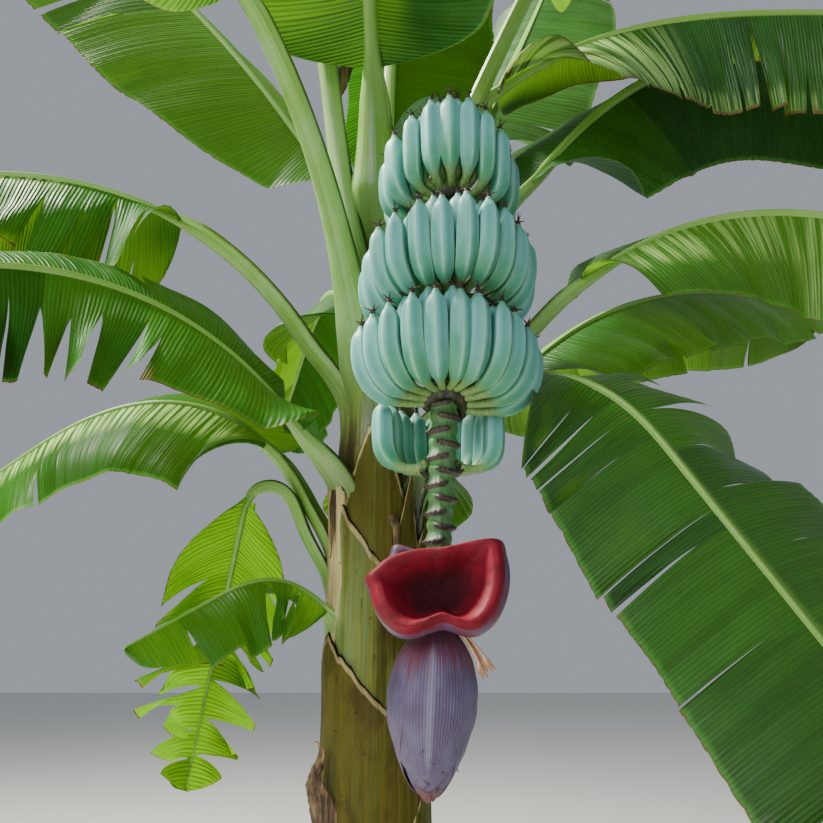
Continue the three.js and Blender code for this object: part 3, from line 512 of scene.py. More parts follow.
class Nodes:
    """Builds a material's node tree a node at a time."""

    def __init__(self, name):
        self.material = bpy.data.materials.new(name)
        self.material.use_nodes = True
        self.tree = self.material.node_tree
        self.tree.nodes.clear()

    def add(self, kind, inputs=(), **settings):
        node = self.tree.nodes.new("ShaderNode" + kind)
        for key, value in settings.items():
            setattr(node, key, value)
        for socket, value in dict(inputs).items():
            self.feed(node.inputs[socket], value)
        return node

    def feed(self, socket, value):
        if isinstance(value, bpy.types.NodeSocket):
            self.tree.links.new(value, socket)
        elif isinstance(value, bpy.types.Node):
            self.tree.links.new(value.outputs[0], socket)
        elif socket.type == "RGBA":
            socket.default_value = (*value, 1)
        else:
            socket.default_value = value

    def math(self, operation, a, b=0.0):
        return self.add("Math", {0: a, 1: b}, operation=operation).outputs[0]

    def plus(self, a, b):
        return self.math("ADD", a, b)

    def times(self, a, b):
        return self.math("MULTIPLY", a, b)

    def about(self, value, amount):
        """How far a value lies above or below a half, times amount."""
        return self.times(self.math("SUBTRACT", value, 0.5), amount)

    def ranged(self, value, start, end, low=0.0, high=1.0):
        inputs = {0: value, 1: start, 2: end, 3: low, 4: high}
        return self.add("MapRange", inputs, interpolation_type="SMOOTHSTEP").outputs[0]

    def mix(self, amount, under, over):
        return self.add("Mix", {0: amount, 6: under, 7: over}, data_type="RGBA").outputs[2]

    def fade(self, under, over, value, start, end, most=1.0, least=0.0):
        """Lays one colour over another, by least where the value is at start and by most at end."""
        return self.mix(self.ranged(value, start, end, least, most), under, over)

    def layered(self, colour, *layers):
        """Fades further colours over the first, each given with its value, start, end, most and least."""
        for layer in layers:
            colour = self.fade(colour, *layer)
        return colour

    def stretched(self, vector, x, y, z, place=(0.0, 0.0, 0.0)):
        return self.add("Mapping", {"Vector": vector, "Scale": (x, y, z), "Location": place}).outputs[0]

    def noise(self, vector, scale, detail=3.0, roughness=0.55, place=(0.0, 0.0, 0.0)):
        """Noise with one scale, or with a scale for each axis and a place of its own."""
        if isinstance(scale, tuple):
            vector = self.stretched(vector, *scale, place)
            scale = 1.0
        inputs = {"Vector": vector, "Scale": scale, "Detail": detail, "Roughness": roughness}
        return self.add("TexNoise", inputs).outputs["Fac"]

    def wave(self, vector, distortion, detail_scale, direction="X"):
        inputs = {"Vector": vector, "Scale": 1.0, "Distortion": distortion, "Detail": 2.0,
                  "Detail Scale": detail_scale}
        return self.add("TexWave", inputs, bands_direction=direction).outputs["Fac"]

    def own(self, name="Object"):
        return self.add("TexCoord").outputs[name]

    def mark(self, name):
        return self.add("Attribute", attribute_name=name).outputs["Fac"]

    def bump(self, height, strength, distance, under=None):
        inputs = {"Height": height, "Strength": strength, "Distance": distance}
        if under is not None:
            inputs["Normal"] = under
        return self.add("Bump", inputs).outputs[0]

    def skin(self, colour, roughness, normal=None, specular=0.5):
        inputs = {"Base Color": colour, "Roughness": roughness, "Specular IOR Level": specular}
        if normal is not None:
            inputs["Normal"] = normal
        return self.add("BsdfPrincipled", inputs)

    def close(self, shader):
        self.add("OutputMaterial", {"Surface": shader})
        return self.material

    def finish(self, *parts):
        return self.close(self.skin(*parts))


def paint(code):
    """A colour written as six hexadecimal digits, as the linear values that shaders take."""
    values = [int(code[k:k + 2], 16) / 255 for k in (0, 2, 4)]
    return tuple(v / 12.92 if v <= 0.04045 else ((v + 0.055) / 1.055) ** 2.4 for v in values)


def colour_property(name, code, description):
    return FloatVectorProperty(
        name=name, description=description, default=paint(code), size=3, subtype="COLOR", min=0, max=1
    )


class PlantSizes(bpy.types.PropertyGroup):
    row_pitch: FloatProperty(
        name="Vein pitch", description="Distance between rows of a blade", default=0.0075, unit="LENGTH",
        min=0.004,
    )
    blade_columns: IntProperty(
        name="Blade columns", description="Faces across a half blade", default=13, min=4
    )
    sweep: FloatProperty(
        name="Vein sweep", description="How far a vein runs toward the tip", default=0.045, unit="LENGTH"
    )
    limb_sides: IntProperty(name="Stalk sides", description="Faces round a leaf stalk", default=24, min=8)
    finger_sides: IntProperty(name="Finger sides", description="Faces round a finger", default=20, min=5)
    floor_size: FloatProperty(name="Floor", description="Width of the floor", default=60.0, unit="LENGTH")


class PlantColours(bpy.types.PropertyGroup):
    leaf_deep: colour_property("Deep leaf", "134510", "Shaded ground colour of a mature blade")
    leaf_fresh: colour_property("Fresh leaf", "1f5a10", "Ground colour of a younger blade")
    leaf_bright: colour_property("Leaf light", "4f9a38", "Colour of the paler veins")
    leaf_through: colour_property("Light through a leaf", "96da1a", "Light that passes through a blade")
    # Pale stripes on a blade are painted sheen, standing for light glinting along its veins.
    leaf_pale: colour_property("Painted sheen", "b2d67c", "Painted sheen: light glinting along the veins")
    leaf_dry: colour_property("Dry margin", "6a5228", "Dried margin and tips")
    rib: colour_property("Rib", "7dab42", "Rib on the blade")
    stalk: colour_property("Leaf stalk", "7dab3e", "Waxy stalk")
    stalk_pale: colour_property("Stalk bloom", "a6c98a", "Pale wax on a stalk")
    stalk_deep: colour_property("Stalk shade", "3f6a1c", "Strands and underside of a stalk")
    straw: colour_property("Straw", "cbb885", "Dry sheath margin")
    sheath: colour_property("Sheath", "45480f", "Olive sheath")
    sheath_pale: colour_property("Pale sheath", "7c8434", "Pale strands of a sheath")
    sheath_brown: colour_property("Old sheath", "35230a", "Dry brown streaks")
    fruit: colour_property("Fruit skin", "3f8c60", "Green under the bloom")
    fruit_bloom: colour_property("Fruit bloom", "64a8a2", "Pale blue bloom")
    fruit_stalk: colour_property("Fruit stalk", "3f7434", "Fruit stalk")
    bud: colour_property("Bud", "4f4464", "Bloom of the bud")
    bud_bloom: colour_property("Bud bloom", "6a6382", "Pale bloom of the bud")
    bud_red: colour_property("Bud red", "6a1c2c", "Skin of the bud where the bloom is thin")
    bract: colour_property("Bract inside", "7c0c24", "Inside of the lifted bract")
    flower: colour_property("Flower", "ecc9a0", "Male flowers")
    floor: colour_property("Floor", "d6d7d2", "Plain floor")


def sizes():
    return bpy.context.scene.plant_sizes


def colours():
    return bpy.context.scene.plant_colours


class Shade:
    """Linear colours that the materials mix into the main ones, and those of the light."""

    TAN = (0.135, 0.108, 0.012)
    TAN_DEEP = (0.034, 0.027, 0.003)
    STRAW_DEEP = (0.25, 0.14, 0.05)
    PAPER = (0.36, 0.22, 0.10)
    STREAK = (0.03, 0.14, 0.09)
    # Painted shade in the valleys of a finger, then a painted highlight on its ridges.
    VALLEY = (0.04, 0.19, 0.16)
    RIDGE = (0.40, 0.66, 0.52)
    FINGER_STALK = (0.13, 0.24, 0.05)
    FINGER_STALK_PALE = (0.24, 0.34, 0.12)
    FINGER_END = (0.10, 0.19, 0.08)
    SPECK = (0.04, 0.04, 0.02)
    # Near-black under a crown: painted shade, partly over the crown's own dark olive-brown.
    CROWN = (0.008, 0.012, 0.004)
    CROWN_PALE = (0.05, 0.06, 0.02)
    CHAR = (0.012, 0.008, 0.006)
    TIP = (0.07, 0.04, 0.02)
    SCAR = (0.09, 0.06, 0.04)
    STALK_CLOUD = (0.055, 0.13, 0.045)
    STALK_FIBRE = (0.17, 0.32, 0.24)
    GROOVE = (0.075, 0.035, 0.07)
    BRUISE = (0.025, 0.016, 0.02)
    BUD_END = (0.16, 0.035, 0.03)
    BUD_MARGIN = (0.06, 0.022, 0.03)
    # A painted highlight down the middle of each bud bract.
    SPINE = (0.34, 0.33, 0.46)
    BRACT_CLOUD = (0.115, 0.004, 0.010)
    BRACT_STREAK = (0.30, 0.05, 0.04)
    # Painted shade deep in the bract's hollow.
    HOLLOW = (0.022, 0.002, 0.004)
    PORE = (0.34, 0.08, 0.08)
    BRACT_FIBRE = (0.09, 0.03, 0.05)
    FLOWER_STREAK = (0.80, 0.40, 0.26)
    FLOWER_END = (0.36, 0.16, 0.05)
    FLECK = (0.6, 0.6, 0.58)
    SKY = (0.80, 0.87, 0.95)
    KEY_LIGHT = (1.0, 0.95, 0.85)
    FILL_LIGHT = (0.95, 0.98, 1.0)


def leaf_material(leaf, index):
    """Lamina with fine veins from the rib to a dry margin; light passes through it."""
    C = colours()
    n = Nodes("lamina_" + leaf["name"])
    uv = n.own("UV")
    across = n.add("SeparateXYZ", {0: uv}).outputs[0]
    reach = n.times(n.math("ABSOLUTE", n.math("SUBTRACT", across, 0.5)), 2.0)
    long = leaf["blade"] * MM
    vein = n.wave(n.stretched(uv, 2.0, long * 38, 1, (index, 0, 0)), 0.7, 0.4, "Y")
    fine = n.noise(uv, (2.5, long * 300, 1), 2.0, 0.5, (index, 0, 0))
    broad = n.noise(uv, (1.0, long * 24, 1), 3.0, 0.6, (0, index, 0))
    patch = n.noise(n.stretched(n.own(), 1, 1, 1, (index, 0, 0)), 2.4, 5.0, 0.62)
    # Streaks of the painted sheen.
    sheen_streak = n.noise(uv, (1.6, long * 95, 1), 2.0, 0.5, (index, 5, 0))
    ragged = n.noise(uv, (2.0, long * 34, 1), 4.0, 0.75, (index, 3, 0))
    edge = n.plus(reach, n.about(ragged, 0.06))
    dry_from = 0.986 - leaf["dry"]
    dried = n.ranged(edge, dry_from, dry_from + 0.012)
    ground = C.leaf_deep if leaf["tint"] == "deep" else C.leaf_fresh
    darker = ground * 0.5
    colour = n.layered(
        ground,
        (ground * 0.7 + C.leaf_bright * 0.3, patch, 0.3, 0.7),
        (darker, broad, 0.6, 0.32, 0.5),
        (darker, n.mark("panel"), 0.0, 1.0, 0.0, 0.5),
        (C.leaf_bright, fine, 0.5, 0.8, 0.2),
        (darker, vein, 0.2, 0.9, 0.4),
    )
    # Painted sheen: pale stripes, in the windows each leaf gives, stand for light glinting along the veins.
    colour = n.mix(n.times(n.mark("wash"), n.ranged(sheen_streak, 0.42, 0.6)), colour, C.leaf_pale)
    colour = n.fade(colour, C.rib, reach, 0.0, 0.06, 0.0, 0.6)
    colour = n.fade(colour, C.leaf_bright, edge, 0.94, 0.985, 0.45)
    colour = n.mix(dried, colour, C.leaf_dry)
    colour = n.fade(colour, C.leaf_dry, n.plus(n.mark("dry"), n.times(ragged, 0.5)), 0.75, 1.0)
    veined = n.bump(n.plus(n.times(vein, 0.8), fine), leaf["relief"], 0.0018)
    normal = n.bump(broad, 0.8, 0.008, veined)
    roughness = n.ranged(n.plus(broad, n.times(fine, 0.3)), 0.4, 0.85, 0.3, 0.52)
    glow = n.fade(C.leaf_through, colour, fine, 0.3, 0.8, 0.4, 0.05)
    through = n.add("BsdfTranslucent", {"Color": n.mix(dried, glow, C.leaf_dry), "Normal": normal})
    amount = n.times(n.ranged(n.mark("panel"), 0.0, 1.0, 0.55, 1.45), leaf["glow"])
    skin = n.skin(colour, roughness, normal, leaf["sheen"])
    return n.close(n.add("MixShader", {0: amount, 1: skin, 2: through}))


def limb_material():
    """A leaf's sheath, stalk and rib: olive fibres low down, waxy along the stalk, pale along the rib."""
    C = colours()
    n = Nodes("stalk_skin")
    at = n.own()
    out = n.mark("out")
    fibre = n.noise(at, (60, 60, 2.2), 4.0, 0.6)
    strand = n.noise(n.own("UV"), (46, 5, 1), 4.0, 0.6)
    fine = n.noise(at, (190, 190, 9), 3.0, 0.6)
    blotch = n.noise(n.stretched(at, 1, 1, 0.45), 7.0, 4.0, 0.62)
    waxy = n.fade(C.stalk, C.stalk_pale, blotch, 0.35, 0.75, 0.75)
    waxy = n.fade(waxy, C.stalk_deep, strand, 0.42, 0.72, 0.55)
    # A stalk darkens on its underside: partly a darker keel of its own, partly painted shade.
    waxy = n.mix(n.times(n.mark("keel"), n.ranged(strand, 0.2, 0.7, 0.95, 0.6)), waxy, C.stalk_deep)
    olive = n.fade(C.sheath, C.sheath_pale, fibre, 0.38, 0.72)
    olive = n.fade(olive, C.sheath_brown, n.plus(blotch, n.times(fine, 0.4)), 0.62, 0.82)
    colour = n.fade(olive, waxy, out, -0.12, 0.16)
    colour = n.mix(n.mark("rib"), colour, n.fade(C.rib, C.stalk_deep, strand, 0.35, 0.75, 0.5))
    margin = n.plus(n.mark("margin"), n.about(fibre, 0.5))
    browned = n.times(n.ranged(margin, 0.62, 0.9, 0.0, 0.85), n.ranged(out, -0.05, 0.5, 1.0, 0.45))
    colour = n.mix(browned, colour, C.sheath_brown)
    normal = n.bump(n.plus(strand, n.times(fine, 0.15)), 0.4, 0.002)
    return n.finish(colour, n.ranged(blotch, 0.2, 0.8, 0.3, 0.48), normal)


def sheath_material():
    """Old sheaths round the stem: olive with brown fibres, brown or straw-coloured where they have died."""
    C = colours()
    n = Nodes("sheath_skin")
    at = n.own()
    fibre = n.noise(at, (42, 42, 1.3), 5.0, 0.65)
    fine = n.noise(at, (210, 210, 6), 3.0, 0.6)
    blotch = n.noise(n.stretched(at, 1, 1, 0.35), 9.0, 5.0, 0.65)
    cloud = n.noise(n.stretched(at, 1, 1, 0.5), 22.0, 5.0, 0.7)
    edge = n.plus(n.mark("margin"), n.about(fibre, 0.6))
    brown = C.sheath_brown
    dark = brown * 0.3
    colour = n.layered(
        C.sheath,
        (C.sheath_pale, fibre, 0.38, 0.7),
        (brown, blotch, 0.42, 0.66, 0.7),
        (brown, fine, 0.46, 0.72, 0.55),
    )
    colour = n.mix(n.mark("fresh"), colour, n.fade(C.stalk_pale, C.sheath_pale, fibre, 0.35, 0.65))
    tan = n.fade(Shade.TAN, Shade.TAN_DEEP, fibre, 0.36, 0.66)
    tan = n.fade(tan, brown, cloud, 0.46, 0.68, 0.8)
    colour = n.mix(n.times(n.mark("dead"), n.ranged(cloud, 0.35, 0.6, 0.8, 1.0)), colour, tan)
    straw = n.fade(C.straw, Shade.STRAW_DEEP, fibre, 0.4, 0.7, 0.75)
    colour = n.mix(n.mark("straw"), colour, straw)
    colour = n.layered(
        colour,
        (dark, n.noise(at, 90.0, 2.0, 0.5), 0.68, 0.76, 0.6),
        (straw, edge, 0.3, 0.55, 0.7),
        (dark, edge, 0.78, 0.95),
    )
    normal = n.bump(n.plus(fibre, n.times(fine, 0.6)), 0.75, 0.004)
    return n.finish(colour, n.ranged(blotch, 0.3, 0.7, 0.5, 0.75), normal, 0.16)


def dry_material():
    """Papery brown sheath and leaf remains."""
    brown = colours().sheath_brown
    n = Nodes("dry_paper")
    at = n.own()
    fibre = n.noise(at, (120, 120, 6), 4.0, 0.6)
    colour = n.fade(brown, Shade.PAPER, fibre, 0.35, 0.7)
    colour = n.fade(colour, brown * 0.4, n.noise(at, 14.0, 3.0, 0.6), 0.4, 0.7, 0.7)
    return n.finish(colour, 0.75, n.bump(fibre, 0.7, 0.003))


def fruit_material():
    """Green fingers under a pale blue bloom, olive at the crown end, with painted highlights on the ridges,
    painted shade in the valleys between them and painted shade under the crowns.
    """
    C = colours()
    n = Nodes("fruit_skin")
    at = n.own()
    run = n.mark("along")
    ridge = n.mark("ridge")
    cloud = n.noise(n.stretched(at, 1, 1, 0.5), 34.0, 5.0, 0.62)
    speck = n.noise(at, 420.0, 2.0, 0.5)
    streak = n.noise(at, (150, 150, 14), 3.0, 0.6)
    blue = n.plus(n.ranged(run, 0.25, 0.8, 0.0, 0.55), n.times(cloud, 0.75))
    blue = n.plus(blue, n.times(n.mark("tone"), 0.16))
    colour = n.layered(
        C.fruit,
        (C.fruit_bloom, blue, 0.3, 0.95),
        (Shade.STREAK, streak, 0.5, 0.8, 0.25),
        # Painted shade in the valleys and a painted highlight on the ridges of each finger.
        (Shade.VALLEY, ridge, -0.4, 0.0, 0.0, 0.4),
        (Shade.RIDGE, ridge, 0.0, 1.0, 0.65),
    )
    stalk = n.fade(Shade.FINGER_STALK, Shade.FINGER_STALK_PALE, streak, 0.35, 0.7)
    colour = n.layered(
        colour,
        (stalk, run, 0.33, 0.2, 0.9),
        (Shade.FINGER_END, run, 0.93, 1.0, 0.6),
        (Shade.SPECK, speck, 0.7, 0.78, 0.35),
    )
    crown = n.fade(Shade.CROWN, Shade.CROWN_PALE, streak, 0.4, 0.7)
    # The underside of each crown goes near-black: painted shade in the hollow under it, partly its own dark
    # colour.
    colour = n.fade(colour, crown, n.plus(n.mark("dark"), n.times(cloud, 0.4)), 0.3, 0.9)
    normal = n.bump(n.plus(cloud, n.times(speck, 0.15)), 0.15, 0.002)
    return n.finish(colour, n.ranged(cloud, 0.2, 0.8, 0.38, 0.55), normal, 0.4)


def tip_material():
    """Withered flowers at the tips of the fingers."""
    n = Nodes("dried_tip")
    return n.finish(n.fade(Shade.CHAR, Shade.TIP, n.noise(n.own(), 300.0), 0.4, 0.7), 0.8)


def fruit_stalk_material():
    """The fruit stalk: green with a little bloom, between dark rough scars."""
    n = Nodes("fruit_stalk_skin")
    at = n.own()
    fibre = n.noise(at, (90, 90, 14), 4.0, 0.6)
    rough = n.noise(at, 260.0, 3.0, 0.6)
    colour = n.fade(colours().fruit_stalk, Shade.STALK_CLOUD, n.noise(at, 30.0, 3.0, 0.6), 0.3, 0.7)
    colour = n.fade(colour, Shade.STALK_FIBRE, fibre, 0.5, 0.8, 0.45)
    scar = n.fade(Shade.CHAR, Shade.SCAR, rough, 0.4, 0.7)
    colour = n.fade(colour, scar, n.plus(n.mark("scar"), n.about(rough, 0.35)), 0.16, 0.4)
    return n.finish(colour, 0.5, n.bump(n.plus(fibre, rough), 0.4, 0.002))


def bud_material():
    """The bud: grey bloom over deep red, with fine ribs down each bract."""
    C = colours()
    n = Nodes("bud_skin")
    uv = n.own("UV")
    at = n.own()
    run = n.mark("along")
    rib = n.wave(n.stretched(uv, 28, 0.3, 1), 0.8, 1.0)
    streak = n.noise(uv, (55, 1.6, 1), 3.0, 0.6)
    cloud = n.noise(n.stretched(at, 1, 1, 0.6), 20.0, 5.0, 0.65)
    bare = n.plus(n.ranged(run, 0.5, 0.1), n.about(streak, 2.2))
    bruise = n.plus(n.noise(at, 55.0, 3.0, 0.6), n.ranged(run, 0.55, 1.0, 0.0, 0.16))
    colour = n.layered(
        C.bud,
        (C.bud_bloom, cloud, 0.3, 0.72),
        (C.bud_red, bare, 0.35, 1.15, 0.85),
        (Shade.GROOVE, rib, 0.45, 0.95, 0.5),
        (Shade.BRUISE, bruise, 0.68, 0.78, 0.85),
        (Shade.BUD_END, run, 0.88, 0.98, 0.85),
        (Shade.BUD_MARGIN, n.mark("margin"), 0.6, 1.0, 0.75),
        # Painted highlight down the middle of each bract.
        (Shade.SPINE, n.mark("spine"), 0.2, 1.0, 0.32),
    )
    normal = n.bump(n.plus(rib, streak), 0.4, 0.0016)
    return n.finish(colour, n.ranged(cloud, 0.3, 0.7, 0.42, 0.6), normal, 0.4)


def bract_inside_material():
    """Inside of the lifted bract: crimson, smoother on the rolled rim, painted shade almost black in the
    hollow.
    """
    n = Nodes("bract_inside")
    at = n.own()
    deep = n.mark("deep")
    streak = n.noise(n.own("UV"), (70, 4, 1), 3.0, 0.6)
    cloud = n.noise(at, 26.0, 3.0, 0.6)
    colour = n.layered(
        colours().bract,
        (Shade.BRACT_CLOUD, cloud, 0.3, 0.7),
        (Shade.BRACT_STREAK, streak, 0.52, 0.8, 0.25),
        # Painted shade, almost black, deep in the hollow.
        (Shade.HOLLOW, n.plus(deep, n.times(cloud, 0.25)), 0.2, 1.1, 0.9),
        (Shade.PORE, n.noise(at, 330.0, 2.0, 0.5), 0.6, 0.75, 0.2),
    )
    normal = n.bump(n.plus(streak, cloud), 0.35, 0.0018)
    return n.finish(colour, n.ranged(deep, 0.1, 0.6, 0.58, 0.85), normal, 0.2)


def bract_outside_material():
    """Outside of the lifted bract: grey bloom over dull red."""
    C = colours()
    n = Nodes("bract_outside")
    at = n.own()
    cloud = n.noise(at, 24.0, 4.0, 0.6)
    fibre = n.noise(at, (160, 160, 16), 3.0, 0.6)
    colour = n.fade(C.bud, C.bud_red, cloud, 0.3, 0.7)
    colour = n.fade(colour, Shade.BRACT_FIBRE, fibre, 0.45, 0.75, 0.6)
    return n.finish(colour, 0.5, n.bump(n.plus(cloud, fibre), 0.35, 0.0018))


def flower_material():
    """Male flowers: cream, with pink streaks and brown ends."""
    n = Nodes("flower_skin")
    streak = n.noise(n.own(), (300, 300, 40), 3.0, 0.6)
    colour = n.fade(colours().flower, Shade.FLOWER_STREAK, streak, 0.35, 0.7)
    colour = n.fade(colour, Shade.FLOWER_END, n.mark("along"), 0.8, 1.0, 0.8)
    return n.finish(colour, 0.6, n.bump(streak, 0.3, 0.001))


def floor_material():
    n = Nodes("floor_plain")
    return n.finish(n.fade(colours().floor, Shade.FLECK, n.noise(n.own(), 3.0), 0.2, 0.8, 0.06), 0.8)


def tears_of(leaf, index, side):
    """A half blade's tears as (q, reach where it starts, half width of its mouth), broad and fine."""
    wide = []
    for k in range(leaf["tears"]):
        if (k % 2 == 0) == (side > 0):
            q = TEAR["start"] + TEAR["run"] * frac(index * TEAR["step"] + (k + 1) * GOLDEN)
            wide.append((q, TEAR["left"], TEAR["mouth"]))
    for half, q, begin, mouth in leaf["rips"]:
        if half == side and all(abs(q - other[0]) > 0.012 for other in wide):
            wide.append((q, begin, mouth))
    dice = random.Random(f"{leaf['name']} {side}")
    count = leaf["fine"][0 if side > 0 else 1]
    for k in range(count):
        q = 0.05 + 0.86 * (k + dice.uniform(0.15, 0.85)) / count
        if all(abs(q - other[0]) > 0.025 for other in wide):
            wide.append((q, dice.uniform(0.15, 0.75), leaf["gap"] * dice.uniform(0.2, 1.3)))
    return sorted(wide)


def slit(bm, cuts):
    """Opens a half blade's grid along the rows where it is torn."""
    level = {round(2 * q - 1, 5): begin for q, begin, _ in cuts}
    edges = []
    for edge in bm.edges:
        a, b = edge.verts
        if abs(a.co.y - b.co.y) < 1e-6:
            begin = level.get(round(a.co.y, 5))
            if begin is not None and min(a.co.x, b.co.x) >= 2 * begin - 1:
                edges.append(edge)
    if edges:
        bmesh.ops.split_edges(bm, edges=edges)


def faces_beyond(bm):
    """How far along from each vertex the middle of its faces lies, to tell both lips of a tear apart."""
    beyond = []
    for vert in bm.verts:
        middles = [face.calc_center_median().y for face in vert.link_faces]
        beyond.append(sum(middles) / len(middles) - vert.co.y)
    return np.array(beyond)


def wash_of(leaf, side, q, reach):
    """How strong the painted sheen, pale stripes for light along the veins, is all over a half blade."""
    wash = 0 * q
    for half, since, until, near, far, much in leaf["wash"]:
        if half == side:
            along = share(q, since - 0.05, since) * (1 - share(q, until, until + 0.05))
            across = share(reach, near - 0.1, near) * (1 - share(reach, far, far + 0.16))
            wash = np.maximum(wash, much * along * across)
    return wash


def half_blade(leaf, index, side):
    """One half of a lamina: a grid of veins, slit along some of them, then laid on the leaf's surface."""
    name = leaf["name"]
    rows = int(leaf["blade"] * MM / sizes().row_pitch)
    cuts = [(round(q * rows) / rows, begin, mouth) for q, begin, mouth in tears_of(leaf, index, side)]
    bm = grid(sizes().blade_columns, rows)[0]
    slit(bm, cuts)
    if side < 0:
        bmesh.ops.reverse_faces(bm, faces=bm.faces)
    across, q = flat_places(bm)
    reach = (across + 1) / 2
    beyond = faces_beyond(bm)
    inner = q + np.sign(np.where(np.abs(beyond) < 1e-5, 0, beyond)) * (0.2 / rows)

    places, begins, mouths = np.array([(0.0, 0.97, 0.0), *cuts, (1.0, 0.97, 0.0)]).T
    strip = np.clip(np.searchsorted(places, inner) - 1, 0, len(places) - 2)
    low, high = places[strip], places[strip + 1]
    inside = np.clip((q - low) / np.maximum(high - low, 1e-6), 0, 1)
    begin = blended(begins[strip], begins[strip + 1], inside)
    dice = random.Random(f"strips {name} {side}")
    fall = math.radians(leaf["fall"])
    swings = fall * np.array([dice.uniform(-0.5, 1.0) for _ in places])
    twists = 0.6 * fall * np.array([dice.uniform(-1, 1) for _ in places])
    cutbacks = np.array([dice.uniform(1 - leaf["fall"] / 250, 1.0) for _ in places])
    tones = np.array([dice.uniform(0, 1) for _ in places])
    torn = share(reach, begin, 1)
    swing = swings[strip] + twists[strip] * (2 * inside - 1)
    length = blended(1.0, cutbacks[strip], torn)

    mouth_low = mouths[strip] * share(reach, begins[strip], 1)
    mouth_high = mouths[strip + 1] * share(reach, begins[strip + 1], 1)
    closing = UNEVEN["closing"]
    shift = mouth_low * np.exp(-closing * inside) - mouth_high * np.exp(-closing * (1 - inside))
    sweep = leaf.get("sweep", sizes().sweep / MM) * reach ** 1.4 * share(q, 0, 0.15) * (1 - q)
    vein = np.clip(q + (shift + sweep) / leaf["blade"], 0, 1)

    along = q * leaf["blade"]
    pleated = 0.45 + 0.55 * ripple(along / UNEVEN["pleat_run"], name + "p")
    pleated = pleated + 0.2 * ripple(along / UNEVEN["crinkle_run"], name + "f")
    body = share(reach, 0.02, 0.22) * (1 - 0.6 * share(reach, 0.85, 1))
    turn_about = np.where(np.round(q * rows) % 2 == 0, 1, -1)
    lift = leaf["pleat"] * turn_about * np.clip(pleated, 0.1, 1.2) * body
    lift += UNEVEN["wave"] * ripple(along / UNEVEN["wave_run"], name + str(side)) * reach ** 1.4
    lift -= UNEVEN["hollow"] * (2 * inside - 1) ** 2 * torn * (len(cuts) > 2)
    ragged = 1 - UNEVEN["ragged"] * np.abs(ripple(along / UNEVEN["ragged_run"], name + "r")) * (reach > 0.99)
    points = blade_surface(LINES[name], vein, reach * ragged, side, swing, begin, lift, length)
    opened = np.maximum(mouths[strip] * (inside < 0.08), mouths[strip + 1] * (inside > 0.92))
    dry = np.clip(torn * opened / 14, 0, 0.8)
    # How strong the painted sheen is at each vertex.
    wash = wash_of(leaf, side, q, reach)
    return laid(bm, points, (0.5 + side * reach / 2, q), dry=dry, panel=tones[strip], wash=wash)


def blade_nodes(leaf):
    own = ["blade_" + leaf["name"] + part for part in ("", "_inner", "_outer")]
    return [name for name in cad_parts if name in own]


# The wrapped part of each sheath: how its half angle opens below the place where the stalk leaves the stem,
# how thick it is, how deep the oldest and the youngest lie, the stretch in which the stalk comes away, and
# the height of its foot.
WRAP = dict(top_angle=42, more=126, opening=190, thickness=4.5, layer_from=-9, layer_to=5, away=(-90, 170),
            foot=2, wander=1.2)


def emergence(line):
    """The run at which a stalk's middle passes the skin of the stem."""
    t = np.linspace(0, 0.5, 400)
    place = line.at(t)[0]
    outside = np.hypot(place[:, 0], place[:, 1]) > stem_radius(place[:, 2]) * 0.92
    return float(t[np.argmax(outside)] * line.run)


